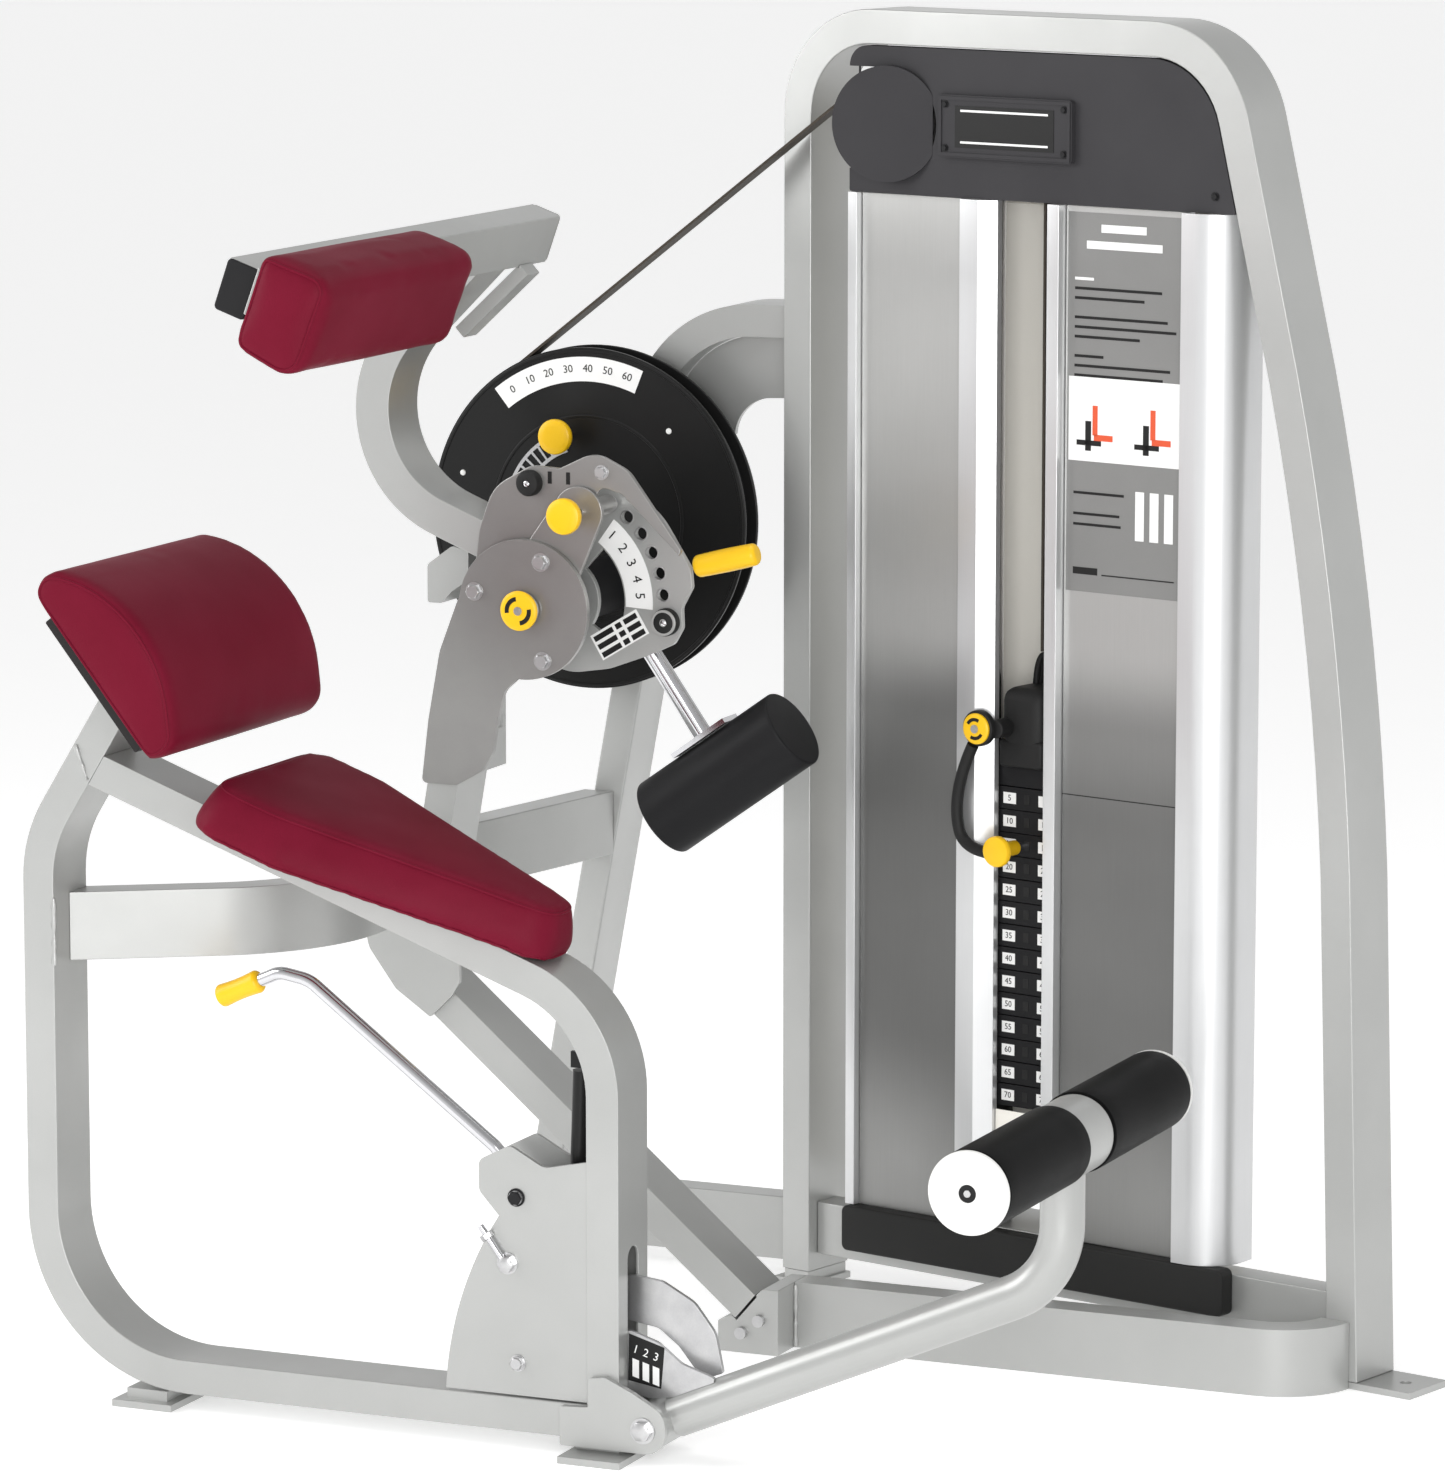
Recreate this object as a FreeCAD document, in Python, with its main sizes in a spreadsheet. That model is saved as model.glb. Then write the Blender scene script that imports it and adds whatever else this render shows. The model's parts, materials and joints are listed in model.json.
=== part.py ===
import FreeCAD, Part
import math
import os
from FreeCAD import Placement, Rotation, Vector

# Seated back extension machine with a weight stack.
# Working axes: x is forward (the way the user faces), y is the user's left, z is up.
# y = 0 is the middle plane of the seat; the weight tower stands at the user's left, turned by tower_yaw.

DIMENSIONS = [
    # alias, millimetres or degrees, meaning
    ("origin_x", 302.8, "row origin in working axes, middle of the footprint"),
    ("origin_y", 300.5, "row origin in working axes, middle of the footprint"),
    ("tube_width", 38, "flat frame tube, narrow side"),
    ("tube_depth", 77, "flat frame tube, wide side"),
    ("tube_wall", 3, "wall of every frame tube"),
    ("seat_slope", 20.3, "fall of the seat rail towards the front, degrees"),
    ("loop_floor", 20, "underside of the seat frame above the floor"),
    ("pad_half", 185, "half width of the lumbar and back pads"),
    ("seat_pad_thick", 66, "thickness of the seat pad"),
    ("hub_x", -34, "arm hinge axis"),
    ("hub_z", 848, "arm hinge axis"),
    ("hub_near", 444, "near face of the hub side plate"),
    ("side_plate_thick", 8, "hub side plate"),
    ("arm_plate_thick", 7, "plates welded to the arm"),
    ("arm_tube_width", 42, "curved arm tube, in its own plane"),
    ("axle_radius", 20, "hub axle"),
    ("axle_clearance", 0.05, "running clearance on a shaft"),
    ("post_near", 452, "near face of the near post"),
    ("post_far", 800, "near face of the far post"),
    ("cam_radius", 203, "cam flange"),
    ("cam_x", -84, "cam centre at rest"),
    ("cam_z", 917, "cam centre at rest"),
    ("belt_mid", 753, "middle plane of the belt, cam and pulleys"),
    ("belt_width", 28, "flat belt"),
    ("belt_thick", 3, "flat belt"),
    ("pulley_radius", 55, "belt pulleys"),
    ("pulley_x", 297, "first pulley centre"),
    ("pulley_z", 1394, "both pulley centres"),
    ("pulley_gap", 135, "second pulley behind the first, along x"),
    ("tower_x", 147, "near left corner of the tower"),
    ("tower_y", 781, "near left corner of the tower"),
    ("tower_yaw", 15, "turn of the tower front about z, degrees"),
    ("tower_height", 1524, "overall height"),
    ("tower_tube", 40, "tower frame tube in the plane of the frame"),
    ("stack_u", 335, "middle of the weight stack along the tower front"),
    ("stack_v", 68, "middle of the weight stack behind the tower front"),
    ("plate_width", 210, "weight plate"),
    ("plate_deep", 92, "weight plate"),
    ("plate_pitch", 27, "weight plate and gap"),
    ("stack_floor", 256, "underside of the lowest plate"),
    ("resting_count", 11, "plates under the selector pin"),
    ("lifted_count", 3, "plates above and on the selector pin"),
    ("rod_radius", 10, "guide rods"),
    ("pipe_radius", 24, "foot arm pipe"),
    ("foot_pivot_x", 335, "foot arm pivot"),
    ("foot_pivot_z", 38.6, "foot arm pivot"),
    ("roller_x", 800, "foot roller axis"),
    ("roller_z", 391, "foot roller axis"),
    ("roller_radius", 44, "foot roller foam"),
    ("roller_half", 280, "half length of the foot roller with its caps"),
    ("knob_radius", 21, "pull knobs of the range and start pins"),
    ("weight_radius", 47.5, "counterweight"),
    ("weight_length", 200, "counterweight"),
]

doc = FreeCAD.newDocument("back_extension_machine")
sheet = doc.addObject("Spreadsheet::Sheet", "dims")
for row, (alias, value, meaning) in enumerate(DIMENSIONS, start=1):
    sheet.set(f"A{row}", meaning)
    sheet.set(f"B{row}", str(value))
    sheet.setAlias(f"B{row}", alias)
doc.recompute()

D = {alias: float(sheet.get(alias)) for alias, _, _ in DIMENSIONS}
MACHINE = Placement(Vector(-D["origin_x"], -D["origin_y"], 0), Rotation())
TOWER = MACHINE.multiply(Placement(Vector(D["tower_x"], D["tower_y"], 0),
                                   Rotation(Vector(0, 0, 1), -D["tower_yaw"])))
X, Y, Z = Vector(1, 0, 0), Vector(0, 1, 0), Vector(0, 0, 1)
NODES = []


# ---------------------------------------------------------------- helpers

def node(obj, label, frame=MACHINE):
    """Give a finished sub-part its name and its place in the row frame."""
    obj.Label = label
    obj.Placement = frame.multiply(obj.Placement)
    NODES.append(obj)
    return obj


def feature(shape, name="form"):
    obj = doc.addObject("Part::Feature", name)
    obj.Shape = shape
    return obj


def bind(obj, prop, size):
    """Set a size from a number, or bind it to an expression on the sheet such as 'dims.tube_width'."""
    if isinstance(size, str):
        obj.setExpression(prop, size)
    else:
        setattr(obj, prop, size)


def box(corner, length, width, height):
    obj = doc.addObject("Part::Box", "box")
    for prop, size in (("Length", length), ("Width", width), ("Height", height)):
        bind(obj, prop, size)
    obj.Placement = Placement(Vector(*corner), Rotation())
    return obj


def cylinder(base, axis, radius, height):
    obj = doc.addObject("Part::Cylinder", "cylinder")
    bind(obj, "Radius", radius)
    bind(obj, "Height", height)
    obj.Placement = Placement(Vector(*base), Rotation(Z, Vector(*axis)))
    return obj


def cut(base, *tools):
    for tool in tools:
        obj = doc.addObject("Part::Cut", "cut")
        obj.Base, obj.Tool = base, tool
        base = obj
    return base


def fuse(*parts):
    obj = doc.addObject("Part::MultiFuse", "fuse")
    obj.Shapes = list(parts)
    return obj


def group(*parts):
    """Separate solids kept together under one name."""
    obj = doc.addObject("Part::Compound", "group")
    obj.Links = list(parts)
    return obj


def extrude(face, direction, length):
    obj = doc.addObject("Part::Extrusion", "extrusion")
    obj.Base = feature(face, "outline")
    obj.DirMode = "Custom"
    obj.Dir = direction
    obj.Solid = True
    bind(obj, "LengthFwd", length)
    return obj


def unit(a, b):
    length = math.hypot(b[0] - a[0], b[1] - a[1])
    return (b[0] - a[0]) / length, (b[1] - a[1]) / length


def corner_arc(before, corner, after, radius):
    """Start, middle and end of the round that replaces a corner."""
    u, v = unit(before, corner), unit(corner, after)
    turn = math.atan2(u[0] * v[1] - u[1] * v[0], u[0] * v[0] + u[1] * v[1])
    reach = radius * math.tan(abs(turn) / 2)
    start = corner[0] - u[0] * reach, corner[1] - u[1] * reach
    end = corner[0] + v[0] * reach, corner[1] + v[1] * reach
    side = math.copysign(1, turn)
    centre = start[0] - u[1] * side * radius, start[1] + u[0] * side * radius
    out = unit(centre, corner)
    return start, (centre[0] + out[0] * radius, centre[1] + out[1] * radius), end


def path_edges(points, radii, lift):
    """Straight runs joined by rounds; lift turns a 2-D point into a Vector."""
    edges, last = [], points[0]
    for i in range(1, len(points) - 1):
        if radii[i] <= 0:
            edges.append(Part.makeLine(lift(last), lift(points[i])))
            last = points[i]
            continue
        start, middle, end = corner_arc(points[i - 1], points[i], points[i + 1], radii[i])
        if math.hypot(start[0] - last[0], start[1] - last[1]) > 1e-4:
            edges.append(Part.makeLine(lift(last), lift(start)))
        edges.append(Part.Arc(lift(start), lift(middle), lift(end)).toShape())
        last = end
    if math.hypot(points[-1][0] - last[0], points[-1][1] - last[1]) > 1e-4:
        edges.append(Part.makeLine(lift(last), lift(points[-1])))
    return edges


def in_xz(y):
    return lambda p: Vector(p[0], y, p[1])


def in_xy(z):
    return lambda p: Vector(p[0], p[1], z)


def outline(points, radii, lift):
    """Closed face; the outline starts in the middle of its first side, so that every corner can be round."""
    count = len(points)
    radii = radii if isinstance(radii, (list, tuple)) else [radii] * count
    middle = ((points[0][0] + points[-1][0]) / 2, (points[0][1] + points[-1][1]) / 2)
    ring = [middle] + list(points) + [middle]
    return Part.Face(Part.Wire(path_edges(ring, [0] + list(radii) + [0], lift)))


def offset_path(points, radii, shift):
    """The same path moved sideways by shift, to its left when shift is positive."""
    moved, rounds = [], []
    for i, point in enumerate(points):
        u = unit(points[max(i - 1, 0)], points[max(i, 1)])
        v = unit(points[min(i, len(points) - 2)], points[min(i + 1, len(points) - 1)])
        normal = (-u[1] - v[1], u[0] + v[0])
        scale = shift * 2 / (normal[0] ** 2 + normal[1] ** 2)
        moved.append((point[0] + normal[0] * scale, point[1] + normal[1] * scale))
        turn = u[0] * v[1] - u[1] * v[0]
        rounds.append(max(radii[i] - shift * math.copysign(1, turn), 0) if radii[i] else 0)
    return moved, rounds


def strip(points, radii, width, lift, overrun=0):
    """Flat band of the given width along a path, longer by overrun at both ends."""
    first, last = unit(points[1], points[0]), unit(points[-2], points[-1])
    points = list(points)
    points[0] = (points[0][0] + first[0] * overrun, points[0][1] + first[1] * overrun)
    points[-1] = (points[-1][0] + last[0] * overrun, points[-1][1] + last[1] * overrun)
    left, left_rounds = offset_path(points, radii, width / 2)
    right, right_rounds = offset_path(points, radii, -width / 2)
    edges = path_edges(left, left_rounds, lift)
    edges.append(Part.makeLine(lift(left[-1]), lift(right[-1])))
    edges += path_edges(right[::-1], right_rounds[::-1], lift)
    edges.append(Part.makeLine(lift(right[0]), lift(left[0])))
    return Part.Face(Part.Wire(Part.__sortEdges__(edges)))


def bent_tube(points, radii, base, direction, width):
    """Hollow rectangular tube: a band of the path's plane, extruded through its depth."""
    wall = D["tube_wall"]
    plane = in_xz if direction.y else in_xy
    outer = extrude(strip(points, radii, width, plane(base)), direction, "dims.tube_depth")
    bore = strip(points, radii, width - 2 * wall, plane(base + wall), overrun=2)
    return cut(outer, extrude(bore, direction, "dims.tube_depth - 2 * dims.tube_wall"))


def solid_band(points, radii, base, direction, width, deep):
    """Solid bar of the same shape as a tube."""
    lift = in_xz(base) if direction.y else in_xy(base)
    return extrude(strip(points, radii, width, lift), direction, deep)


def plate(points, radii, near, thick):
    """Flat plate standing in an xz plane."""
    return extrude(outline(points, radii, in_xz(near)), Y, thick)


def sector(centre, inner, outer, start, end, near, thick):
    """Part of a ring in an xz plane, angles in degrees from +x towards +z."""
    def at(radius, angle):
        turn = math.radians(angle)
        return Vector(centre[0] + radius * math.cos(turn), near, centre[1] + radius * math.sin(turn))
    middle = (start + end) / 2
    edges = [Part.Arc(at(outer, start), at(outer, middle), at(outer, end)).toShape(),
             Part.makeLine(at(outer, end), at(inner, end)),
             Part.Arc(at(inner, end), at(inner, middle), at(inner, start)).toShape(),
             Part.makeLine(at(inner, start), at(outer, start))]
    return extrude(Part.Face(Part.Wire(edges)), Y, thick)


def round_bar(points, radii, radius, lift, bore=0):
    """Round bar or pipe along a path."""
    spine = Part.Wire(path_edges(points, radii, lift))
    start, ahead = lift(points[0]), lift(points[1]) - lift(points[0])

    def sweep(r):
        ring = Part.Wire(Part.makeCircle(r, start, ahead))
        return spine.makePipeShell([ring], True, False)
    return feature(sweep(radius).cut(sweep(bore)) if bore else sweep(radius), "bar")


def rod(start, direction, radius, length):
    """Round rod in the plane y = 0, from start along a 2-D direction."""
    return cylinder((start[0], 0, start[1]), (direction[0], 0, direction[1]), radius, length)


def beyond_point(start, direction, distance):
    return start[0] + direction[0] * distance, start[1] + direction[1] * distance


def polar(centre, radius, angle):
    """Point at an angle, in degrees, from a centre."""
    turn = math.radians(angle)
    return centre[0] + radius * math.cos(turn), centre[1] + radius * math.sin(turn)


# ---------------------------------------------------------------- seat frame

half_depth = D["tube_depth"] / 2
half_width = D["tube_width"] / 2
upright_x, rail_z = -402, D["loop_floor"] + half_width
leg_x = 284
slope = math.radians(D["seat_slope"])
lean = (0.526, 0.850)
lumbar_top, lumbar_low = (-322, 919), (-197, 758)
board_thick = 15


def seat_line(x):
    """Height of the middle of the seat rail."""
    return 688.8 - math.tan(slope) * (x + 255)


def beyond(origin, direction, near, far):
    """Large block behind a slanted line of an xz plane, used to trim tube ends."""
    side = (-direction[1], direction[0])
    corners = [(origin[0] + direction[0] * a + side[0] * b, origin[1] + direction[1] * a + side[1] * b)
               for a, b in ((-400, 0), (400, 0), (400, 300), (-400, 300))]
    return plate(corners, 0, near, far - near)


gap = 0.5
upright_path = [beyond_point((-317, 768), lean, 100), (upright_x, 630.6), (upright_x, rail_z),
                (leg_x - half_width - gap, rail_z)]
board_back = beyond_point(lumbar_low, (-0.79, -0.613), board_thick + gap)
upright = bent_tube(upright_path, [0, 150, 178, 0], -half_depth, Y, D["tube_width"])
upright = cut(upright, beyond(board_back, unit(lumbar_top, lumbar_low), -60, 60))
node(upright, "rear_upright")

rail_path = [(leg_x, D["loop_floor"]), (leg_x, seat_line(leg_x)), (-345, seat_line(-345))]
rail = bent_tube(rail_path, [0, 134, 0], -half_depth, Y, D["tube_width"])
fit_width, fit_depth = D["tube_width"] + 0.6, D["tube_depth"] + 2
upright_solid = solid_band(upright_path, [0, 150, 178, 0], -half_depth - 1, Y, fit_width, fit_depth)
rail_solid = solid_band(rail_path, [0, 134, 0], -half_depth - 1, Y, fit_width, fit_depth)
slot_half, slot_end = 14, 216
leg_slot = fuse(box((leg_x - 30, -slot_half, 60), 60, 2 * slot_half, slot_end - 60),
                cylinder((leg_x - 30, 0, slot_end), X, slot_half, 60))
node(cut(rail, upright_solid, leg_slot), "seat_rail")

pivot = (D["foot_pivot_x"], D["foot_pivot_z"])
pin_radius = 10
ear_outline = [(236, 12.6), (236, 56), (270, 58), (270, 90), (290, 93), (322, 79), (361, 58), (361, 12.6)]
ear_rounds = [3, 3, 2, 4, 6, 12, 24, 24]
ears = [plate(ear_outline, ear_rounds, near, 8) for near in (-half_depth - 8, half_depth)]
ear_bore = cylinder((pivot[0], -60, pivot[1]), Y, pin_radius, 120)
node(cut(group(*ears), ear_bore), "pivot_bracket")

housing_corners = [(95, 60), (264.5, 60), (264.5, 326), (214, 315), (173, 337), (136, 318), (136, 284),
                   (160, 258)]
housing_edges = path_edges(housing_corners, [0, 0, 0, 20, 10, 10, 12, 0], in_xz(0))
housing_edges.append(Part.Arc(Vector(160, 0, 258), Vector(114, 0, 162), Vector(95, 0, 60)).toShape())
housing_face = Part.Face(Part.Wire(housing_edges))
lever_pivot, low_pin = (181, 280), (182, 96)


def housing_side(near):
    side = extrude(housing_face.translated(Vector(0, near, 0)), Y, 5)
    holes = [cylinder((p[0], near - 1, p[1]), Y, 8, 7) for p in (lever_pivot, low_pin)]
    return cut(side, *holes)


node(group(housing_side(-36), housing_side(31)), "lever_housing")

cross_path = [(upright_x, 7.5), (-158, 161), (-158, D["post_near"] - gap)]
cross = bent_tube(cross_path, [0, 200, 0], 492, Z, D["tube_width"])
node(cut(cross, upright_solid), "rear_cross_tube")

# ---------------------------------------------------------------- posts and floor frame

post_top, elbow, strut_foot = (-132, 690), (-180, 412), (240, 54.7)
post_line = unit(post_top, elbow)
post_end = beyond_point(elbow, post_line, 24)
near_post = bent_tube([post_top, post_end], [0, 0], D["post_near"], Y, D["tube_width"])
gusset_outline = [(-236, 491), (-237, 443), (-200, 393), (-156, 363), (-128, 390), (-118, 406), (-118, 491)]
gusset = plate(gusset_outline, [4, 30, 20, 2, 12, 6, 4], D["post_near"] - 6, 5.8)
stop_edges = [(-208, 833), (-208, 878), (-176, 901), (-155, 896), (-155, 862), (-176, 848), (-190, 833)]
stop_block = plate(stop_edges, [3, 8, 8, 3, 3, 4, 3], 553.5, 60)
stop_post = box((-186, 593, 640), 56, 8, 215)
stop_foot = box((-160, D["post_near"] + 72, 640), 30, 70, 45)
node(fuse(near_post, gusset, stop_foot, stop_post, stop_block), "near_post")

strut = bent_tube([elbow, strut_foot], [0, 0], D["post_near"], Y, D["tube_width"])
post_solid = solid_band([post_top, beyond_point(post_end, post_line, 2)], [0, 0], D["post_near"] - 1, Y,
                        fit_width, fit_depth)

bracket_outline = [(206, 0), (206, 36), (228, 45), (262, 77), (281, 77), (281, 0)]
bracket = plate(bracket_outline, [3, 3, 3, 3, 0, 0], D["post_near"], 86)
strut_solid = solid_band([elbow, (strut_foot[0] + 2, strut_foot[1] - 2)], [0, 0], D["post_near"] - 1, Y,
                         fit_width, fit_depth)
node(group(cut(strut, post_solid), cut(bracket, strut_solid)), "strut")

ring_y = 519.5
ring_path = [(281.5, ring_y), (912, ring_y), (912, 640)]
tower_line = D["tower_height"] - D["tower_tube"] / 2
tower_path = [(20, 20), (20, tower_line), (610.4, tower_line), (772.6, 862), (800, -4)]
tower_rounds = [0, 105, 115, 3180, 0]
ring = bent_tube(ring_path, [0, 75, 0], 0, Z, D["tube_width"])
tower_solid = solid_band(tower_path, tower_rounds, -0.4, Y, D["tower_tube"] + 0.8, fit_depth)
tower_solid.Placement = MACHINE.inverse().multiply(TOWER)
behind_front = box((400, 0, -10), 600, 400, 200)
behind_front.Placement = MACHINE.inverse().multiply(TOWER).multiply(behind_front.Placement)
node(cut(ring, tower_solid, behind_front), "base_ring")

far_foot, far_top = (-181.4, 72), (-39.4, 848)
far_post = bent_tube([far_foot, far_top], [0, 0], D["post_far"], Y, D["tube_width"])
rail_gap = box((-260, 790, -10), 150, 100, 107.5)
hub = (D["hub_x"], D["hub_z"])
bearing = cylinder((hub[0], D["post_far"], hub[1]), Y, 36, "dims.tube_depth")
axle_hole = cylinder((hub[0], 700, hub[1]), Y, "dims.axle_radius", 300)
node(cut(fuse(cut(far_post, rail_gap), bearing), axle_hole), "far_post")

floor_rail = bent_tube([(-216, 838), (190, 838)], [0, 0], 20, Z, D["tube_width"])
node(cut(floor_rail, tower_solid), "rear_floor_rail")

beam_from, beam_to = D["post_near"] + D["tube_depth"] + gap, D["post_far"] - gap
beam = bent_tube([(-157, beam_from - 10), (-99, beam_to + 10)], [0, 0], 503, Z, D["tube_width"])
beam_ends = [box((-300, y, 490), 400, 40, 110) for y in (beam_from - 40, beam_to)]
node(cut(beam, *beam_ends), "cross_beam")

brace_path = [(190, 1153), (-44, 1153), (-37, 860)]
brace = bent_tube(brace_path, [0, 140, 0], D["post_far"], Y, D["tube_width"])
web_edges = [
    Part.makeLine(Vector(190, 834, 1133), Vector(100, 834, 1133)),
    Part.Arc(Vector(100, 834, 1133), Vector(15.2, 834, 1097.8), Vector(-20, 834, 1013)).toShape(),
    Part.makeLine(Vector(-20, 834, 1013), Vector(62, 834, 1013)),
    Part.Arc(Vector(62, 834, 1013), Vector(76, 834, 1044), Vector(104, 834, 1058)).toShape(),
    Part.makeLine(Vector(104, 834, 1058), Vector(190, 834, 1062)),
    Part.makeLine(Vector(190, 834, 1062), Vector(190, 834, 1133))]
web = extrude(Part.Face(Part.Wire(web_edges)), Y, 8)
round_bearing = cylinder((hub[0], 790, hub[1]), Y, 36.3, 100)
node(cut(group(brace, web), tower_solid, round_bearing), "tower_brace")

# ---------------------------------------------------------------- tower frame and enclosure

foot_thick = 8
below_foot = box((740, -10, -40), 120, 100, 40 + foot_thick + 0.2)
tower_frame = cut(bent_tube(tower_path, tower_rounds, 0, Y, D["tower_tube"]), below_foot)
node(tower_frame, "tower_frame", TOWER)

sill_z, sill_top = 40, 103.5
sill = cut(box((40.5, 16, sill_z), 735, 40, sill_top - sill_z),
           box((30, 19, sill_z + 3), 760, 34, sill_top - sill_z - 6))
rod_base = box((215, 16, sill_top), 240, 104, 8)
node(fuse(sill, rod_base), "tower_sill", TOWER)

header_outline = [(95, 1313), (95, 1482), (593, 1482), (635.5, 1313)]
header_inner = [(98.5, 1300), (98.5, 1478.5), (590, 1478.5), (635, 1300)]
shell = extrude(outline(header_outline, [3, 24, 95, 3], in_xz(2)), Y, 18)
hollow = extrude(outline(header_inner, [0, 21, 92, 0], in_xz(5.5)), Y, 20)
pulley_axis = (D["pulley_x"], D["pulley_z"])
belt_low = D["belt_mid"] - D["belt_width"] / 2
window = cylinder((pulley_axis[0], 680, pulley_axis[1]), Y, 63, 130)
belt_gap = box((150, belt_low - 4, 1340), 130, 40, 118)
for tool in (window, belt_gap):
    tool.Placement = TOWER.inverse().multiply(MACHINE).multiply(tool.Placement)
header = cut(shell, hollow, window, belt_gap)

cap = cut(cylinder((pulley_axis[0], 727, pulley_axis[1]), Y, 67, 60),
          cylinder((pulley_axis[0], 730.5, pulley_axis[1]), Y, 63.5, 60))
behind_header = box((-50, 1.7, 1200), 500, 200, 400)
behind_header.Placement = MACHINE.inverse().multiply(TOWER).multiply(behind_header.Placement)
belt_window = box((200, belt_low - 4, 1340), 70, 40, 115)
pulley_cover = cut(cap, behind_header, belt_window)
pulley_cover.Placement = TOWER.inverse().multiply(MACHINE)

nameplate = extrude(outline([(227, 1359), (227, 1431), (416, 1431), (416, 1359)], 5, in_xz(-5)), Y, 6.7)
node(group(header, pulley_cover, nameplate), "header_cover", TOWER)

panel_low, panel_top = 112, 1312.5
left_outline = [(107.5, panel_low), (107.5, panel_top), (257.5, panel_top), (257.5, panel_low)]
right_outline = [(398.5, panel_low), (398.5, panel_top), (568.5, panel_top), (568.5, panel_low)]
panels = [extrude(outline(corners, 2, in_xz(10)), Y, 3) for corners in (left_outline, right_outline)]
node(group(*panels), "front_panels", TOWER)


def profile(points, rounds=0.8):
    """Aluminium profile standing the full height of the panels."""
    return extrude(outline(points, rounds, in_xy(panel_low)), Z, panel_top - panel_low)


left_edge = profile([(94, 0), (107, 0), (107, 20), (94, 20)])
slot_left = profile([(258, -4), (284, -4), (302.5, 10), (302.5, 19), (298, 19), (298, 14), (258, 14)])
slot_right = profile([(381.5, -4), (398, -4), (398, 14), (385, 14), (385, 19), (381.5, 19)])
wide_edges = [
    *path_edges([(569, 14), (569, -8), (588, -8)], [0, 0, 0], in_xy(0)),
    Part.Arc(Vector(588, -8, 0), Vector(620.5, 5.5, 0), Vector(634, 38, 0)).toShape(),
    *path_edges([(634, 38), (634, 62), (630, 62), (630, 38)], [0, 0, 0, 0], in_xy(0)),
    Part.Arc(Vector(630, 38, 0), Vector(617.7, 8.3, 0), Vector(588, -4, 0)).toShape(),
    *path_edges([(588, -4), (573, -4), (573, 14), (569, 14)], [0, 0, 0, 0], in_xy(0))]
wide_face = Part.Face(Part.Wire(wide_edges)).translated(Vector(0, 0, panel_low))
wide = extrude(wide_face, Z, panel_top - panel_low)
node(group(left_edge, slot_left, slot_right, wide), "front_profiles", TOWER)

inner_back = box((230, 119, 200), 210, 2, 1100)
inner_lip = box((303, 15, 226), 78, 2, 26)

kick = extrude(outline([(94, 57), (94, 111.5), (640, 111.5), (640, 57)], 8, in_xz(-8)), Y, 23.5)
node(kick, "kick_panel", TOWER)

rear_sheet = box((100, 122, 128), 486, 3, 1342)
rear_sides = [box((u, 84, 128), 3, 37.8, 1342) for u in (100, 583)]
rear_top = box((103.2, 84, 1467), 479.6, 37.8, 3)
node(group(inner_back, inner_lip, rear_sheet, *rear_sides, rear_top), "rear_cover", TOWER)

# ---------------------------------------------------------------- weight stack

stack_u, stack_v = D["stack_u"], D["stack_v"]
rod_u = (stack_u - 75, stack_u + 75)
rod_top = 1335
rods = [cylinder((u, stack_v, sill_top + 8), Z, "dims.rod_radius", rod_top - sill_top - 8) for u in rod_u]
rod_ties = [box((u - 10, stack_v, rod_top - 20), 20, 118.5 - stack_v, 20) for u in rod_u]
node(group(*[fuse(rod, tie) for rod, tie in zip(rods, rod_ties)]), "guide_rods", TOWER)

bumpers = [cut(cylinder((u, stack_v, sill_top + 8), Z, 24, D["stack_floor"] - sill_top - 8.5),
               cylinder((u, stack_v, sill_top), Z, "dims.rod_radius + 0.5", 200)) for u in rod_u]
node(group(*bumpers), "stack_bumpers", TOWER)


def weight_plate(low):
    """One plate, bored for the guide rods and the selector rod."""
    blank = box((stack_u - D["plate_width"] / 2, stack_v - D["plate_deep"] / 2, low),
                "dims.plate_width", "dims.plate_deep", "dims.plate_pitch - 1")
    bores = [cylinder((u, stack_v, low - 1), Z, "dims.rod_radius + 2", 30) for u in rod_u]
    centre_bore = cylinder((stack_u, stack_v, low - 1), Z, 10.5, 30)
    return cut(blank, *bores, centre_bore)


pitch = D["plate_pitch"]
lifted_floor = D["stack_floor"] + D["resting_count"] * pitch
lifted_top = lifted_floor + D["lifted_count"] * pitch
resting = [weight_plate(D["stack_floor"] + k * pitch) for k in range(int(D["resting_count"]))]
node(group(*resting), "resting_plates", TOWER)

pin_z = lifted_floor + (pitch - 1) / 2
pin_bore = cylinder((stack_u, -60, pin_z), Y, 5.05, 140)
lifted = [weight_plate(lifted_floor + k * pitch) for k in range(int(D["lifted_count"]))]
lifted[0] = cut(lifted[0], pin_bore)
node(group(*lifted), "lifted_plates", TOWER)

head = box((stack_u - D["plate_width"] / 2, stack_v - D["plate_deep"] / 2, lifted_top),
           "dims.plate_width", "dims.plate_deep", 26)
head = cut(head, *[cylinder((u, stack_v, lifted_top - 1), Z, "dims.rod_radius + 2", 30) for u in rod_u])
moulding_side = [(14, lifted_top + 26), (14, 730), (30, 756), (100, 756), (100, lifted_top + 26)]
moulding_face = Part.Face(Part.makePolygon([Vector(304, v, z) for v, z in moulding_side + moulding_side[:1]]))
moulding = extrude(moulding_face, X, 62)
clevis = box((stack_u - 16, stack_v - 16, 756), 32, 32, 34)
selector_rod = cylinder((stack_u, stack_v, 300), Z, 8, lifted_top - 300)
selector_rod = cut(selector_rod, cylinder((stack_u, 0, pin_z), Y, 5.05, 100))
cap_u, cap_z = 296, 704
button = fuse(cylinder((cap_u, -16, cap_z), Y, 21, 10), box((304, -6, cap_z - 12), 24, 22, 24))
node(fuse(head, moulding, clevis, selector_rod, button), "head_plate", TOWER)

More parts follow.
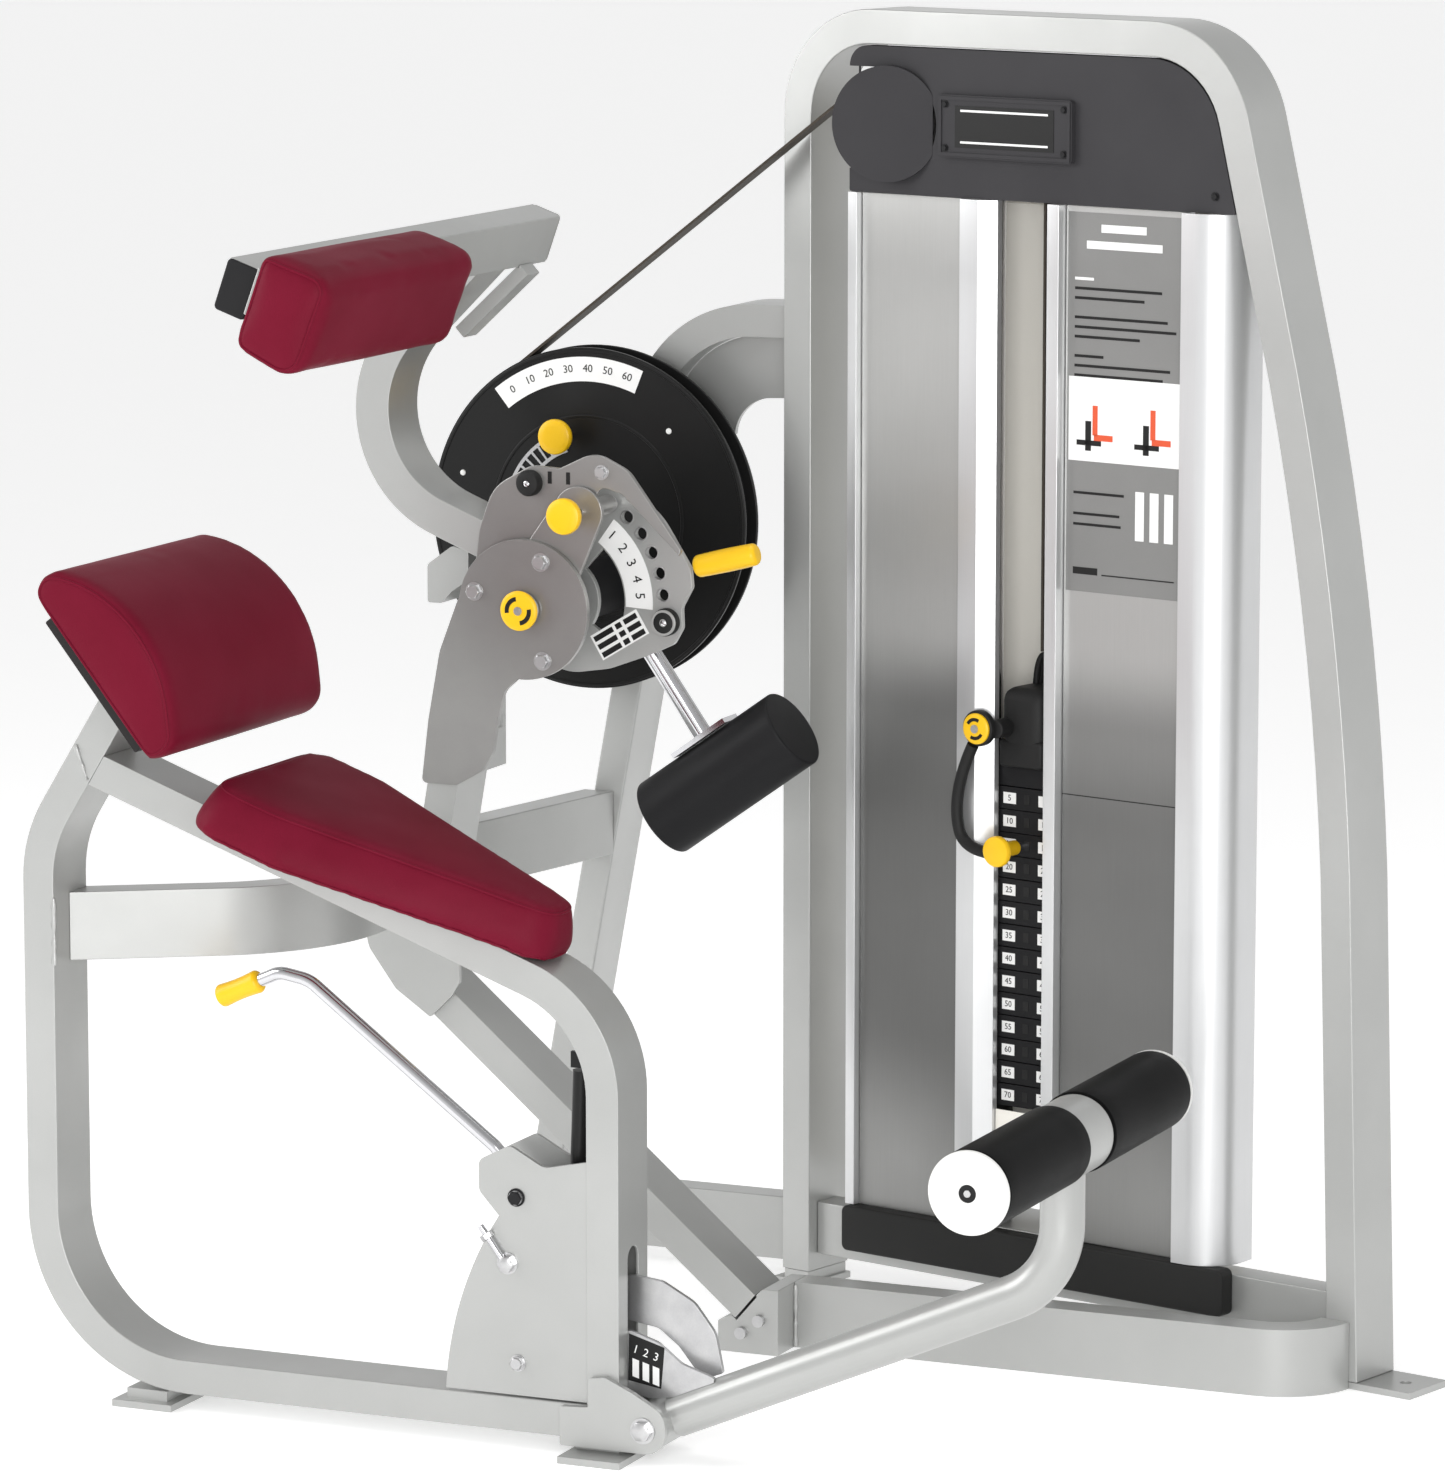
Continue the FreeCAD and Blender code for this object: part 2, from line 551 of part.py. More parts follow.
pin_shaft = cylinder((stack_u, -12, pin_z), Y, 5, stack_v + 19)
pin_knob = cylinder((stack_u, -34, pin_z), Y, 18, 22)
node(fuse(pin_shaft, pin_knob), "selector_pin", TOWER)
tether_path = [(284, 673), (262, 650), (256, 600), (276, 560), (309, 560)]
node(round_bar(tether_path, [0, 30, 40, 22, 0], 7, in_xz(-14)), "pin_tether", TOWER)

# ---------------------------------------------------------------- belt and pulleys

pulley_centres = [pulley_axis, (pulley_axis[0] + D["pulley_gap"], pulley_axis[1])]
for label, centre in zip(("cam_side_pulley", "stack_side_pulley"), pulley_centres):
    wheel = cylinder((centre[0], belt_low - 1, centre[1]), Y, "dims.pulley_radius", D["belt_width"] + 2)
    bore = cylinder((centre[0], belt_low - 5, centre[1]), Y, 8.05, 60)
    hole_places = [polar(centre, 32, 60 * k) for k in range(6)]
    holes = [cylinder((x, belt_low - 5, z), Y, 9, 60) for x, z in hole_places]
    node(cut(wheel, bore, *holes), label)

axles = [cylinder((c[0], belt_low - 4, c[1]), Y, 8, D["belt_width"] + 22) for c in pulley_centres]
hangers = [box((c[0] - 15, belt_low + D["belt_width"] + 5, c[1] - 20), 30, 6, 104) for c in pulley_centres]
hangers = [cut(h, cylinder((c[0], 700, c[1]), Y, 8, 100)) for h, c in zip(hangers, pulley_centres)]
node(group(*axles, *hangers), "pulley_hangers")

wrap = D["pulley_radius"] + 0.4 + D["belt_thick"] / 2
cam_wrap = D["cam_radius"] - 5
rise = (pulley_axis[1] - D["cam_z"], pulley_axis[0] - D["cam_x"])
span_length = math.hypot(*rise)
span_angle = math.atan2(*rise) - math.asin((cam_wrap - wrap) / span_length)
tangent_turn = math.degrees(span_angle) + 90
span_end = polar(pulley_axis, wrap, tangent_turn)
lead_in = 40
span_start = polar(polar((D["cam_x"], D["cam_z"]), cam_wrap, tangent_turn), lead_in, tangent_turn + 90)
node(solid_band([span_start, span_end], [0, 0], belt_low, Y, D["belt_thick"], D["belt_width"]), "belt_span")

over_x = pulley_centres[1][0] + wrap
over_z = pulley_axis[1] + wrap
header_path = [(pulley_axis[0], over_z), (over_x, over_z), (over_x, pulley_axis[1])]
header_run = solid_band(header_path, [0, wrap, 0], belt_low, Y, D["belt_thick"], D["belt_width"])
first_wrap = sector(pulley_axis, wrap - D["belt_thick"] / 2, wrap + D["belt_thick"] / 2,
                    90.2, tangent_turn - 0.2, belt_low, D["belt_width"])
node(group(header_run, first_wrap), "belt_header")

drop_top, drop_low = pulley_axis[1] - 0.5, 790.5
node(box((over_x - D["belt_thick"] / 2, belt_low, drop_low), "dims.belt_thick", "dims.belt_width",
         drop_top - drop_low), "belt_drop")

# ---------------------------------------------------------------- hub, arm and cam

near = D["hub_near"]
side_outline = [(-119, 639), (-164, 639), (-155, 713), (-140, 794), (-118, 851), (-96, 898), (-40, 900),
                (-6, 773), (-36, 772), (-58, 752), (-67, 718), (-73, 679), (-86, 658)]
side_rounds = [4, 6, 60, 60, 60, 30, 0, 4, 20, 20, 30, 20, 20]
side = fuse(plate(side_outline, side_rounds, near, "dims.side_plate_thick"),
            cylinder((hub[0], near, hub[1]), Y, 81, "dims.side_plate_thick"))
node(cut(side, cylinder((hub[0], near - 1, hub[1]), Y, "dims.axle_radius", 20)), "hub_side_plate")

axle = cylinder((hub[0], near - 3, hub[1]), Y, "dims.axle_radius", 440)
axle_cap = cylinder((hub[0], near - 10, hub[1]), Y, "dims.axle_radius + 1.5", 7)
node(fuse(axle, axle_cap), "hub_axle")

arm_near = near + 15
bore_radius = D["axle_radius"] + D["axle_clearance"]
arm_outline = [(-104, 868), (-96, 936), (-78, 986), (-30, 1013), (6, 1011), (50, 1032), (92, 1012),
               (158, 924), (144, 902), (60, 800), (-34, 792), (-88, 826)]
arm_rounds = [20, 40, 50, 26, 10, 36, 36, 6, 6, 30, 30, 30]
arm_blank = plate(arm_outline, arm_rounds, arm_near, "dims.arm_plate_thick")
window_outline = [(20, 930), (58, 992), (84, 985), (152, 921), (180, 868), (60, 848)]
arm_window = fuse(sector(hub, 72, 148, -60, 68, arm_near - 1, 12),
                  plate(window_outline, [0, 10, 12, 4, 0, 0], arm_near - 1, 12))
arm_bore = cylinder((hub[0], 400, hub[1]), Y, bore_radius, 500)
arm_button = cylinder((-30, arm_near - 9, 993), Y, 14, 8.7)
node(group(cut(arm_blank, arm_window, arm_bore), arm_button), "arm_plate")

tube_near = arm_near + D["arm_plate_thick"] + 0.2
arm_path = [(-62, 909), (-337.5, 1020.6), (-95, 1263)]
cross_lean = 19.5
cross_middle = (-92.5, 1264)
cross_tube = cut(box((-19, -140, -29), 38, 758, 58), box((-16, -143, -26), 32, 764, 52))
cross_solid = box((-19.3, -140, -29.3), 38.6, 758, 58.6)
cross_place = Placement(Vector(cross_middle[0], 0, cross_middle[1]), Rotation(Y, cross_lean))
for obj in (cross_tube, cross_solid):
    obj.Placement = cross_place.multiply(obj.Placement)
board = box((-45.8, -150, -27), 9.3, 300, 54)
board.Placement = Placement(Vector(-28.5, 0, 1248), Rotation(Y, 20.3)).multiply(board.Placement)
node(group(cross_tube, board), "arm_cross_tube")
arm_tube = bent_tube(arm_path, [0, 132, 0], tube_near, Y, D["arm_tube_width"])
gusset_bar = solid_band([(-160, 1152), (-78, 1228)], [0, 0], tube_near + D["tube_depth"] + 0.2, Y, 16, 34)
node(cut(group(arm_tube, gusset_bar), cross_solid), "arm_tube")

range_near = tube_near + D["tube_depth"] + 0.2
range_outline = [(-112, 890), (-112, 950), (-34, 988), (30, 992), (92, 955), (132, 892), (134, 870),
                 (121, 846), (122, 822), (111, 803), (84, 790), (30, 770), (-34, 760), (-84, 806)]
range_rounds = [20, 30, 40, 30, 90, 8, 8, 14, 12, 12, 40, 60, 60, 30]
range_blank = plate(range_outline, range_rounds, range_near, 8)
range_window = sector(hub, 50, 83, -34, 48, range_near - 1, 10)
lock_radius, lock_angle, lock_step, lock_count = 132, 60, 11, 6
lock_places = [polar(hub, lock_radius, lock_angle - lock_step * k) for k in range(lock_count)]
lock_holes = [cylinder((x, range_near - 1, z), Y, 7, 12) for x, z in lock_places]
range_button = cylinder((103, range_near - 12.3, 829), Y, 15, 12)
node(group(cut(range_blank, arm_bore, range_window, *lock_holes), range_button), "range_plate")

barrel = cylinder((hub[0], tube_near, hub[1]), Y, 33, 313)
barrel = cut(barrel, arm_bore, box((hub[0] - 40, range_near - 0.3, hub[1] - 40), 80, 8.6, 80))
node(barrel, "arm_hub")

cam_near = D["belt_mid"] - 20
cam_centre = (D["cam_x"], D["cam_z"])
flange_near = cylinder((cam_centre[0], cam_near, cam_centre[1]), Y, "dims.cam_radius", 5)
drum = cylinder((cam_centre[0], cam_near + 5, cam_centre[1]), Y, "dims.cam_radius - 14", 30)
flange_far = cylinder((cam_centre[0], cam_near + 35, cam_centre[1]), Y, "dims.cam_radius", 5)
cam_bore = cylinder((hub[0], cam_near - 5, hub[1]), Y, 33.2, 60)
start_pin_at = polar(cam_centre, 103, 104)
start_bore = cylinder((start_pin_at[0], cam_near - 5, start_pin_at[1]), Y, 5.05, 30)
node(cut(fuse(flange_near, drum, flange_far), cam_bore, start_bore), "cam_disc")

weight_mid, weight_y = (165, 652), 575
weight_turn = math.radians(35.3)
weight_axis = (math.cos(weight_turn), math.sin(weight_turn))
weight_end = beyond_point(weight_mid, weight_axis, -D["weight_length"] / 2)
weight = cylinder((weight_end[0], weight_y, weight_end[1]), (weight_axis[0], 0, weight_axis[1]),
                  "dims.weight_radius", "dims.weight_length")
node(weight, "counterweight")

stem_reach = 190
stem_axis = (weight_axis[1], -weight_axis[0])
stem_from = beyond_point(weight_mid, stem_axis, -stem_reach)
stem_length = stem_reach - D["weight_radius"] - 0.3
stem_end = beyond_point(stem_from, stem_axis, stem_length)
stem = cylinder((stem_from[0], weight_y, stem_from[1]), (stem_axis[0], 0, stem_axis[1]), 11, stem_length)
boss = cylinder((stem_from[0], range_near + 8.3, stem_from[1]), Y, 17, 34)
foot_plate = box((-40, -20, -6), 80, 40, 6)
foot_turn = Rotation(Y, math.degrees(math.atan2(stem_axis[0], stem_axis[1])))
foot_place = Placement(Vector(stem_end[0], weight_y, stem_end[1]), foot_turn)
foot_plate.Placement = foot_place.multiply(foot_plate.Placement)
node(fuse(stem, boss, foot_plate), "counterweight_rod")

grip_from = (137, 894)
grip_dir = (math.cos(math.radians(14)), math.sin(math.radians(14)))
grip = cylinder((grip_from[0], range_near + 4, grip_from[1]), (grip_dir[0], 0, grip_dir[1]), 13, 80)
node(grip, "arm_handle")

back_outline = [(-43, 1313), (45, 1283), (-2, 1164), (-83, 1205)]
node(plate(back_outline, [12, 22, 24, 14], -D["pad_half"] - 3, 2 * D["pad_half"] + 6), "back_pad")

lever_near = near + D["side_plate_thick"] + 0.6
lock_at = polar(hub, lock_radius, lock_angle)
lever_outline = [polar(hub, 46, 165), (lock_at[0] - 26, lock_at[1] + 15), (lock_at[0] + 30, lock_at[1] - 6),
                 polar(hub, 46, -20)]
lever_face = plate(lever_outline, 4, lever_near, 5.5)
lever_blank = fuse(lever_face, cylinder((lock_at[0], lever_near, lock_at[1]), Y, 30, 5.5),
                   cylinder((hub[0], lever_near, hub[1]), Y, 46, 5.5))
lever_barrel = cylinder((lock_at[0], lever_near, lock_at[1]), Y, 11, range_near - lever_near - 6)
plunger_hole = cylinder((lock_at[0], 400, lock_at[1]), Y, 5.05, 200)
node(cut(fuse(lever_blank, lever_barrel), arm_bore, plunger_hole), "range_lever")
plunger = cylinder((lock_at[0], 428, lock_at[1]), Y, 5, range_near - 428.4)
range_knob = cylinder((lock_at[0], 408, lock_at[1]), Y, "dims.knob_radius", 21)
node(fuse(plunger, range_knob), "range_pin")

start_knob = cylinder((start_pin_at[0], cam_near - 44, start_pin_at[1]), Y, "dims.knob_radius", 21)
start_shaft = cylinder((start_pin_at[0], cam_near - 24, start_pin_at[1]), Y, 5, 32)
node(fuse(start_knob, start_shaft), "start_pin")

# ---------------------------------------------------------------- pads

seat_plan = [(90, 148), (210, 152), (420, 74), (506, 46), (506, -46), (420, -74), (210, -152), (90, -148)]
seat_rounds = [40, 90, 60, 42, 42, 60, 90, 40]
seat_pad = extrude(outline(seat_plan, seat_rounds, in_xy(0.5)), Z, "dims.seat_pad_thick")
seat_pad.Placement = Placement(Vector(-255, 0, 709.1), Rotation(Y, D["seat_slope"]))
node(seat_pad, "seat_pad")

lumbar_edges = [
    Part.Arc(Vector(-326, -185, 922), Vector(-321, -185, 947), Vector(-292, -185, 957)).toShape(),
    Part.Arc(Vector(-292, -185, 957), Vector(-205, -185, 913), Vector(-154, -185, 798)).toShape(),
    Part.Arc(Vector(-154, -185, 798), Vector(-160, -185, 764), Vector(-192, -185, 753)).toShape(),
    Part.makeLine(Vector(-192, -185, 753), Vector(-326, -185, 922))]
node(extrude(Part.Face(Part.Wire(lumbar_edges)), Y, "2 * dims.pad_half"), "lumbar_pad")
lumbar_out = (-0.784, -0.621)
low_edge, top_edge = (beyond_point(p, lumbar_out, 0.3) for p in ((-204, 768), (-312, 904)))
low_back, top_back = (beyond_point(p, lumbar_out, board_thick - 1) for p in (low_edge, top_edge))
node(plate([low_edge, low_back, top_back, top_edge], 2, -155, 310), "lumbar_board")

# ---------------------------------------------------------------- foot arm and release lever

fall = math.radians(23.45)
bend = (798, pivot[1] + math.tan(fall) * (798 - pivot[0]))
pipe_start = (pivot[0] + 20, pivot[1] + math.tan(fall) * 20)
pipe_path = [pipe_start, bend, (798, 360)]
pipe = round_bar(pipe_path, [0, 92, 0], D["pipe_radius"], in_xz(0), bore=D["pipe_radius"] - 3)
roller = (D["roller_x"], D["roller_z"])
pivot_boss = cylinder((pivot[0], -36, pivot[1]), Y, 25.5, 72)
drum_boss = cylinder((roller[0], -34, roller[1]), Y, 42, 68)
foot_arm = cut(fuse(pivot_boss, pipe, drum_boss),
               cylinder((pivot[0], -50, pivot[1]), Y, pin_radius + D["axle_clearance"], 100),
               cylinder((roller[0], -50, roller[1]), Y, 10.05, 100))
node(foot_arm, "foot_arm")

scale_outline = [(244, 78), (244, 128), (268, 140), (306, 139), (338, 129), (366, 108), (404, 96), (404, 78),
                 (330, 66)]
pipe_solid = rod(pivot, (math.cos(fall), math.sin(fall)), D["pipe_radius"] + 0.2, 120)
scale_plate = cut(plate(scale_outline, [4, 8, 8, 30, 20, 20, 3, 3, 20], -13, 6), pipe_solid)
hook_outline = [(300, 196), (334, 192), (372, 172), (397, 140), (406, 97), (388, 90), (372, 100), (354, 122),
                (330, 140), (262, 150), (250, 190)]
hook_plate = plate(hook_outline, [10, 20, 30, 30, 3, 3, 10, 14, 20, 6, 10], 7, 6)
node(group(scale_plate, hook_plate), "foot_quadrant")

foams = [cut(cylinder((roller[0], y, roller[1]), Y, "dims.roller_radius", 236),
             cylinder((roller[0], y - 1, roller[1]), Y, 10.3, 240)) for y in (-271.5, 35.5)]
node(group(*foams), "foot_rollers")
roller_shaft = cylinder((roller[0], -272, roller[1]), Y, 10, 544)
cap_thick = 8
end_caps = [cylinder((roller[0], y, roller[1]), Y, "dims.roller_radius", cap_thick)
            for y in (-D["roller_half"], D["roller_half"] - cap_thick)]
node(fuse(roller_shaft, *end_caps), "roller_shaft")

pins = [cylinder((pivot[0], -50, pivot[1]), Y, pin_radius, 100),
        cylinder((lever_pivot[0], -40, lever_pivot[1]), Y, 8, 80),
        cylinder((low_pin[0], -40, low_pin[1]), Y, 8, 80)]

lever_path = [(lever_pivot[0] - 6, lever_pivot[1] + 8), (138, 326), (-86, 492), (-122, 498), (-194, 466)]
lever_rod = round_bar(lever_path, [0, 30, 40, 30, 0], 7.5, in_xz(0))
lever_boss = cylinder((lever_pivot[0], -28, lever_pivot[1]), Y, 17, 56)
lever = cut(fuse(lever_rod, lever_boss), cylinder((lever_pivot[0], -40, lever_pivot[1]), Y, 8.05, 80))
grip_top = (-146, 487.3)
grip_line = unit(grip_top, (-196, 465.1))
node(cut(lever, rod(grip_top, grip_line, 13.2, 70)), "release_lever")
node(rod(grip_top, grip_line, 13, 55), "lever_grip")

ball = (243, 433)
down = unit(ball, (232, 96))
stud_bore = cylinder((ball[0], -20, ball[1]), Y, 5.05, 40)
spring_eye = cut(cylinder((ball[0], -8, ball[1]), Y, 9, 16), stud_bore)
rod_bore = rod(beyond_point(ball, down, 60), down, 4.05, 200)
spring_tube = cut(rod(beyond_point(ball, down, 14), down, 9.5, 190), stud_bore, rod_bore)
node(rod(beyond_point(ball, down, 120), down, 4, 205), "gas_spring_rod")
ball_stud = cylinder((ball[0], -14, ball[1]), Y, 5, 28)
ear_from, ear_to = ball[0] - 7, leg_x - half_width
stud_ears = [box((ear_from, y, ball[1] - 9), ear_to - ear_from, 5, 18) for y in (-14, 9)]
ears_and_stud = cut(fuse(ball_stud, *stud_ears), rail_solid)
node(group(fuse(spring_tube, spring_eye), ears_and_stud), "gas_spring_tube")

# ---------------------------------------------------------------- feet and fasteners

rear_foot = [box((-312, -50, 0), 74, 100, 8), box((-300, -36, 8), 50, 72, 11.5)]
front_foot = [box((246, -75, 0), 74, 110, 8), box((252, -36, 8), 50, 72, 11.5)]
feet = [fuse(*rear_foot), fuse(*front_foot), box((-216, 815, 0), 70, 46, 19.5)]
anchor_hole = cylinder((860, 38.5, -1), Z, 6.5, 10)
right_foot = cut(box((772, 0, 0), 118, 77, 8), anchor_hole)
left_foot = [box((-14, 0, 0), 58, 77, 8), box((2, 2, 8), 36, 73, 11.5)]
tower_feet = group(right_foot, fuse(*left_foot))
tower_feet.Placement = MACHINE.inverse().multiply(TOWER)
node(group(*feet, tower_feet), "floor_feet")

bolt_places = [(-95, 866), (-11, 904), (-9, 790)]
bolts = [cylinder((p[0], near - 5.2, p[1]), Y, 7, 5) for p in bolt_places]
bolts += [cylinder((p[0], 452 - 6, p[1]), Y, 7, 5.7) for p in ((236, 24), (258, 40))]
node(group(*bolts, *pins), "pins_and_bolts")

# ---------------------------------------------------------------- export

doc.recompute()
broken = [o.Label for o in doc.Objects if {"Invalid", "Error"} & set(o.State)]
hollow_nodes = [o.Label for o in NODES if o.Shape.isNull() or not o.Shape.isValid() or not o.Shape.Solids]
if broken or hollow_nodes:
    raise SystemExit(f"failed objects: {broken}, bad shapes: {hollow_nodes}")
if len(NODES) > 60:
    raise SystemExit(f"{len(NODES)} nodes, at most 60")

os.makedirs("parts", exist_ok=True)
for obj in NODES:
    obj.Shape.exportStep(f"parts/{obj.Label}.step")
extent = Part.makeCompound([o.Shape for o in NODES]).BoundBox
print(f"{len(NODES)} nodes, x {extent.XMin:.1f} to {extent.XMax:.1f}, "
      f"y {extent.YMin:.1f} to {extent.YMax:.1f}, z {extent.ZMin:.1f} to {extent.ZMax:.1f}")
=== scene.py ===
import json
import math

import bmesh
import bpy
from mathutils import Matrix, Vector
from mathutils.bvhtree import BVHTree

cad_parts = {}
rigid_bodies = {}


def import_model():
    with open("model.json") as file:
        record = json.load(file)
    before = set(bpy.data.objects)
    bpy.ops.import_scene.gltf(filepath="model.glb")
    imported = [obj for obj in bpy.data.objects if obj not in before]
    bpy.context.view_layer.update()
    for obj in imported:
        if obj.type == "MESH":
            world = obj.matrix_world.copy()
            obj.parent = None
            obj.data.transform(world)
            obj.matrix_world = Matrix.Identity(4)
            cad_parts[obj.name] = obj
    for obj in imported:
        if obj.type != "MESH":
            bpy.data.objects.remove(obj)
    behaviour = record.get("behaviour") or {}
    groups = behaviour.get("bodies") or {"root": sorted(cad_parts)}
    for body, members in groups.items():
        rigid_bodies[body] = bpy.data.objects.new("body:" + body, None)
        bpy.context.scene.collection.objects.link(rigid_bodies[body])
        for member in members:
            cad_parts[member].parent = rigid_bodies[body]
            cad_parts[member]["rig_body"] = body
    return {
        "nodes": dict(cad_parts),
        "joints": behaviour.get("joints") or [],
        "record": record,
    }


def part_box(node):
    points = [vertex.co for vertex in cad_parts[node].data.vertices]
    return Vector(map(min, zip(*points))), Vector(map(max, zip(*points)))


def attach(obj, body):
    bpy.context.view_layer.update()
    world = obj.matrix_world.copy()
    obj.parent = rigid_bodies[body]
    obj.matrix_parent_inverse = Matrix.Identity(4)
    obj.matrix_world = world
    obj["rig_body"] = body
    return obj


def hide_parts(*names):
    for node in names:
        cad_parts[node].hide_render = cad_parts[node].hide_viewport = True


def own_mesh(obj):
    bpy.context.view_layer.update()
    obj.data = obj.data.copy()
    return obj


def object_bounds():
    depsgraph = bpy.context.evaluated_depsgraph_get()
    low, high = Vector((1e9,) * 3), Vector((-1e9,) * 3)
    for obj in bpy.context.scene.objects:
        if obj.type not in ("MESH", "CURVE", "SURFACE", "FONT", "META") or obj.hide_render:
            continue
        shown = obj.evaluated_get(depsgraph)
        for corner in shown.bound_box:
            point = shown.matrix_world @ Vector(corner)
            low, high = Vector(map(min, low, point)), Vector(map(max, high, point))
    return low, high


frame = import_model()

cad_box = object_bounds()

# ---------------------------------------------------------------- places, all taken from the frame

JOINTS = {joint["name"]: joint for joint in frame["joints"]}
FOOT_PIVOT = Vector(JOINTS["foot_arm_hinge"]["pos_m"])
ROLLER = Vector(JOINTS["foot_roller_spin"]["pos_m"])
SEAT_ORIGIN = Vector((FOOT_PIVOT.x - 0.335, FOOT_PIVOT.y, 0.0))  # floor point under the seat frame
TOWER_YAW = math.radians(-15)
TOWER = Matrix.Translation(SEAT_ORIGIN + Vector((0.147, 0.781, 0.0))) @ Matrix.Rotation(TOWER_YAW, 4, "Z")
X, Y, Z = Vector((1, 0, 0)), Vector((0, 1, 0)), Vector((0, 0, 1))
NEAR = -Y
TOWER_FRONT = TOWER.to_3x3() @ NEAR
HUB_CENTRE = (-34, 848)  # x and z in millimetres, in the seat frame's axes
CAM_CENTRE = (-84, 917)


def at(x, y, z):
    """Millimetres in the seat frame's axes, to metres in the row frame."""
    return SEAT_ORIGIN + Vector((x, y, z)) / 1000


def on_tower(u, v, z):
    """Millimetres along the tower's front, behind it and up, to the row frame."""
    return TOWER @ (Vector((u, v, z)) / 1000)


def polar(centre, radius, degrees):
    """Point on a circle, turned from +x towards up."""
    turn = math.radians(degrees)
    return centre[0] + radius * math.cos(turn), centre[1] + radius * math.sin(turn)


# ---------------------------------------------------------------- materials

def add(tree, kind, inputs=(), **settings):
    """New shader node with its settings and its inputs."""
    item = tree.nodes.new(kind)
    for key, value in settings.items():
        setattr(item, key, value)
    for key, value in dict(inputs).items():
        if isinstance(value, bpy.types.NodeSocket):  # a socket is linked, a number is set
            tree.links.new(value, item.inputs[key])
        else:
            item.inputs[key].default_value = value
    return item


def finish(name, light, dark, rough, grain, metal=0.0, coat=0.0, patch=6.0, depth=0.0001,
           stretch=(1, 1, 1), cells=False, shine=0.4, painted_reflection_bands=()):
    """A surface with slow colour drift, a roughness that varies and a fine grain in relief.

    Height stops of (height in metres, brightness), if given, paint a reflection into the colour: the sheet is
    made darker and lighter by height to stand in for the floor and horizon it reflects."""
    material = bpy.data.materials.new(name)
    material.use_nodes = True
    tree = material.node_tree
    shader = tree.nodes["Principled BSDF"]
    shader.inputs["Metallic"].default_value = metal
    shader.inputs["Coat Weight"].default_value = coat
    shader.inputs["Coat Roughness"].default_value = 0.2
    shader.inputs["Specular IOR Level"].default_value = shine
    place = add(tree, "ShaderNodeTexCoord").outputs["Object"]
    drift = add(tree, "ShaderNodeTexNoise", {"Vector": place, "Scale": patch, "Detail": 5.0})
    stretched = add(tree, "ShaderNodeMapping", {"Vector": place, "Scale": stretch}).outputs["Vector"]
    if cells:
        fine = add(tree, "ShaderNodeTexVoronoi", {"Vector": stretched, "Scale": grain},
                   feature="DISTANCE_TO_EDGE").outputs["Distance"]
    else:
        fine = add(tree, "ShaderNodeTexNoise",
                   {"Vector": stretched, "Scale": grain, "Detail": 3.0}).outputs["Fac"]
    speck = add(tree, "ShaderNodeMath", {0: fine, 1: 0.35}, operation="MULTIPLY").outputs[0]
    blend = add(tree, "ShaderNodeMath", {0: drift.outputs["Fac"], 1: speck}, operation="ADD").outputs[0]
    ramp = add(tree, "ShaderNodeMapRange", {"Value": blend, "From Min": 0.35, "From Max": 0.95}).outputs[0]
    tint = add(tree, "ShaderNodeMix", {"Factor": ramp, 6: (*dark, 1), 7: (*light, 1)}, data_type="RGBA")
    colour = tint.outputs[2]
    # Painted reflection: the colour is multiplied by brightness stops set by height, standing in for the
    # floor and horizon seen in the sheet.
    if painted_reflection_bands:
        height = add(tree, "ShaderNodeSeparateXYZ", {0: place}).outputs["Z"]
        top = painted_reflection_bands[-1][0]
        share = add(tree, "ShaderNodeMath", {0: height, 1: top}, operation="DIVIDE").outputs[0]
        ramp = add(tree, "ShaderNodeValToRGB", {0: share})
        ramp.color_ramp.interpolation = "EASE"
        while len(ramp.color_ramp.elements) < len(painted_reflection_bands):
            ramp.color_ramp.elements.new(0.5)
        for element, (level, value) in zip(ramp.color_ramp.elements, painted_reflection_bands):
            element.position = level / top
            element.color = (value, value, value, 1)
        colour = add(tree, "ShaderNodeMix", {"Factor": 1.0, 6: colour, 7: ramp.outputs[0]}, data_type="RGBA",
                     blend_type="MULTIPLY").outputs[2]
    tree.links.new(colour, shader.inputs["Base Color"])
    worn = add(tree, "ShaderNodeMapRange",
               {"Value": blend, "From Min": 0.3, "From Max": 1.0, "To Min": rough[1], "To Max": rough[0]})
    tree.links.new(worn.outputs[0], shader.inputs["Roughness"])
    relief = add(tree, "ShaderNodeBump", {"Height": fine, "Strength": 0.6, "Distance": depth})
    tree.links.new(relief.outputs["Normal"], shader.inputs["Normal"])
    return material


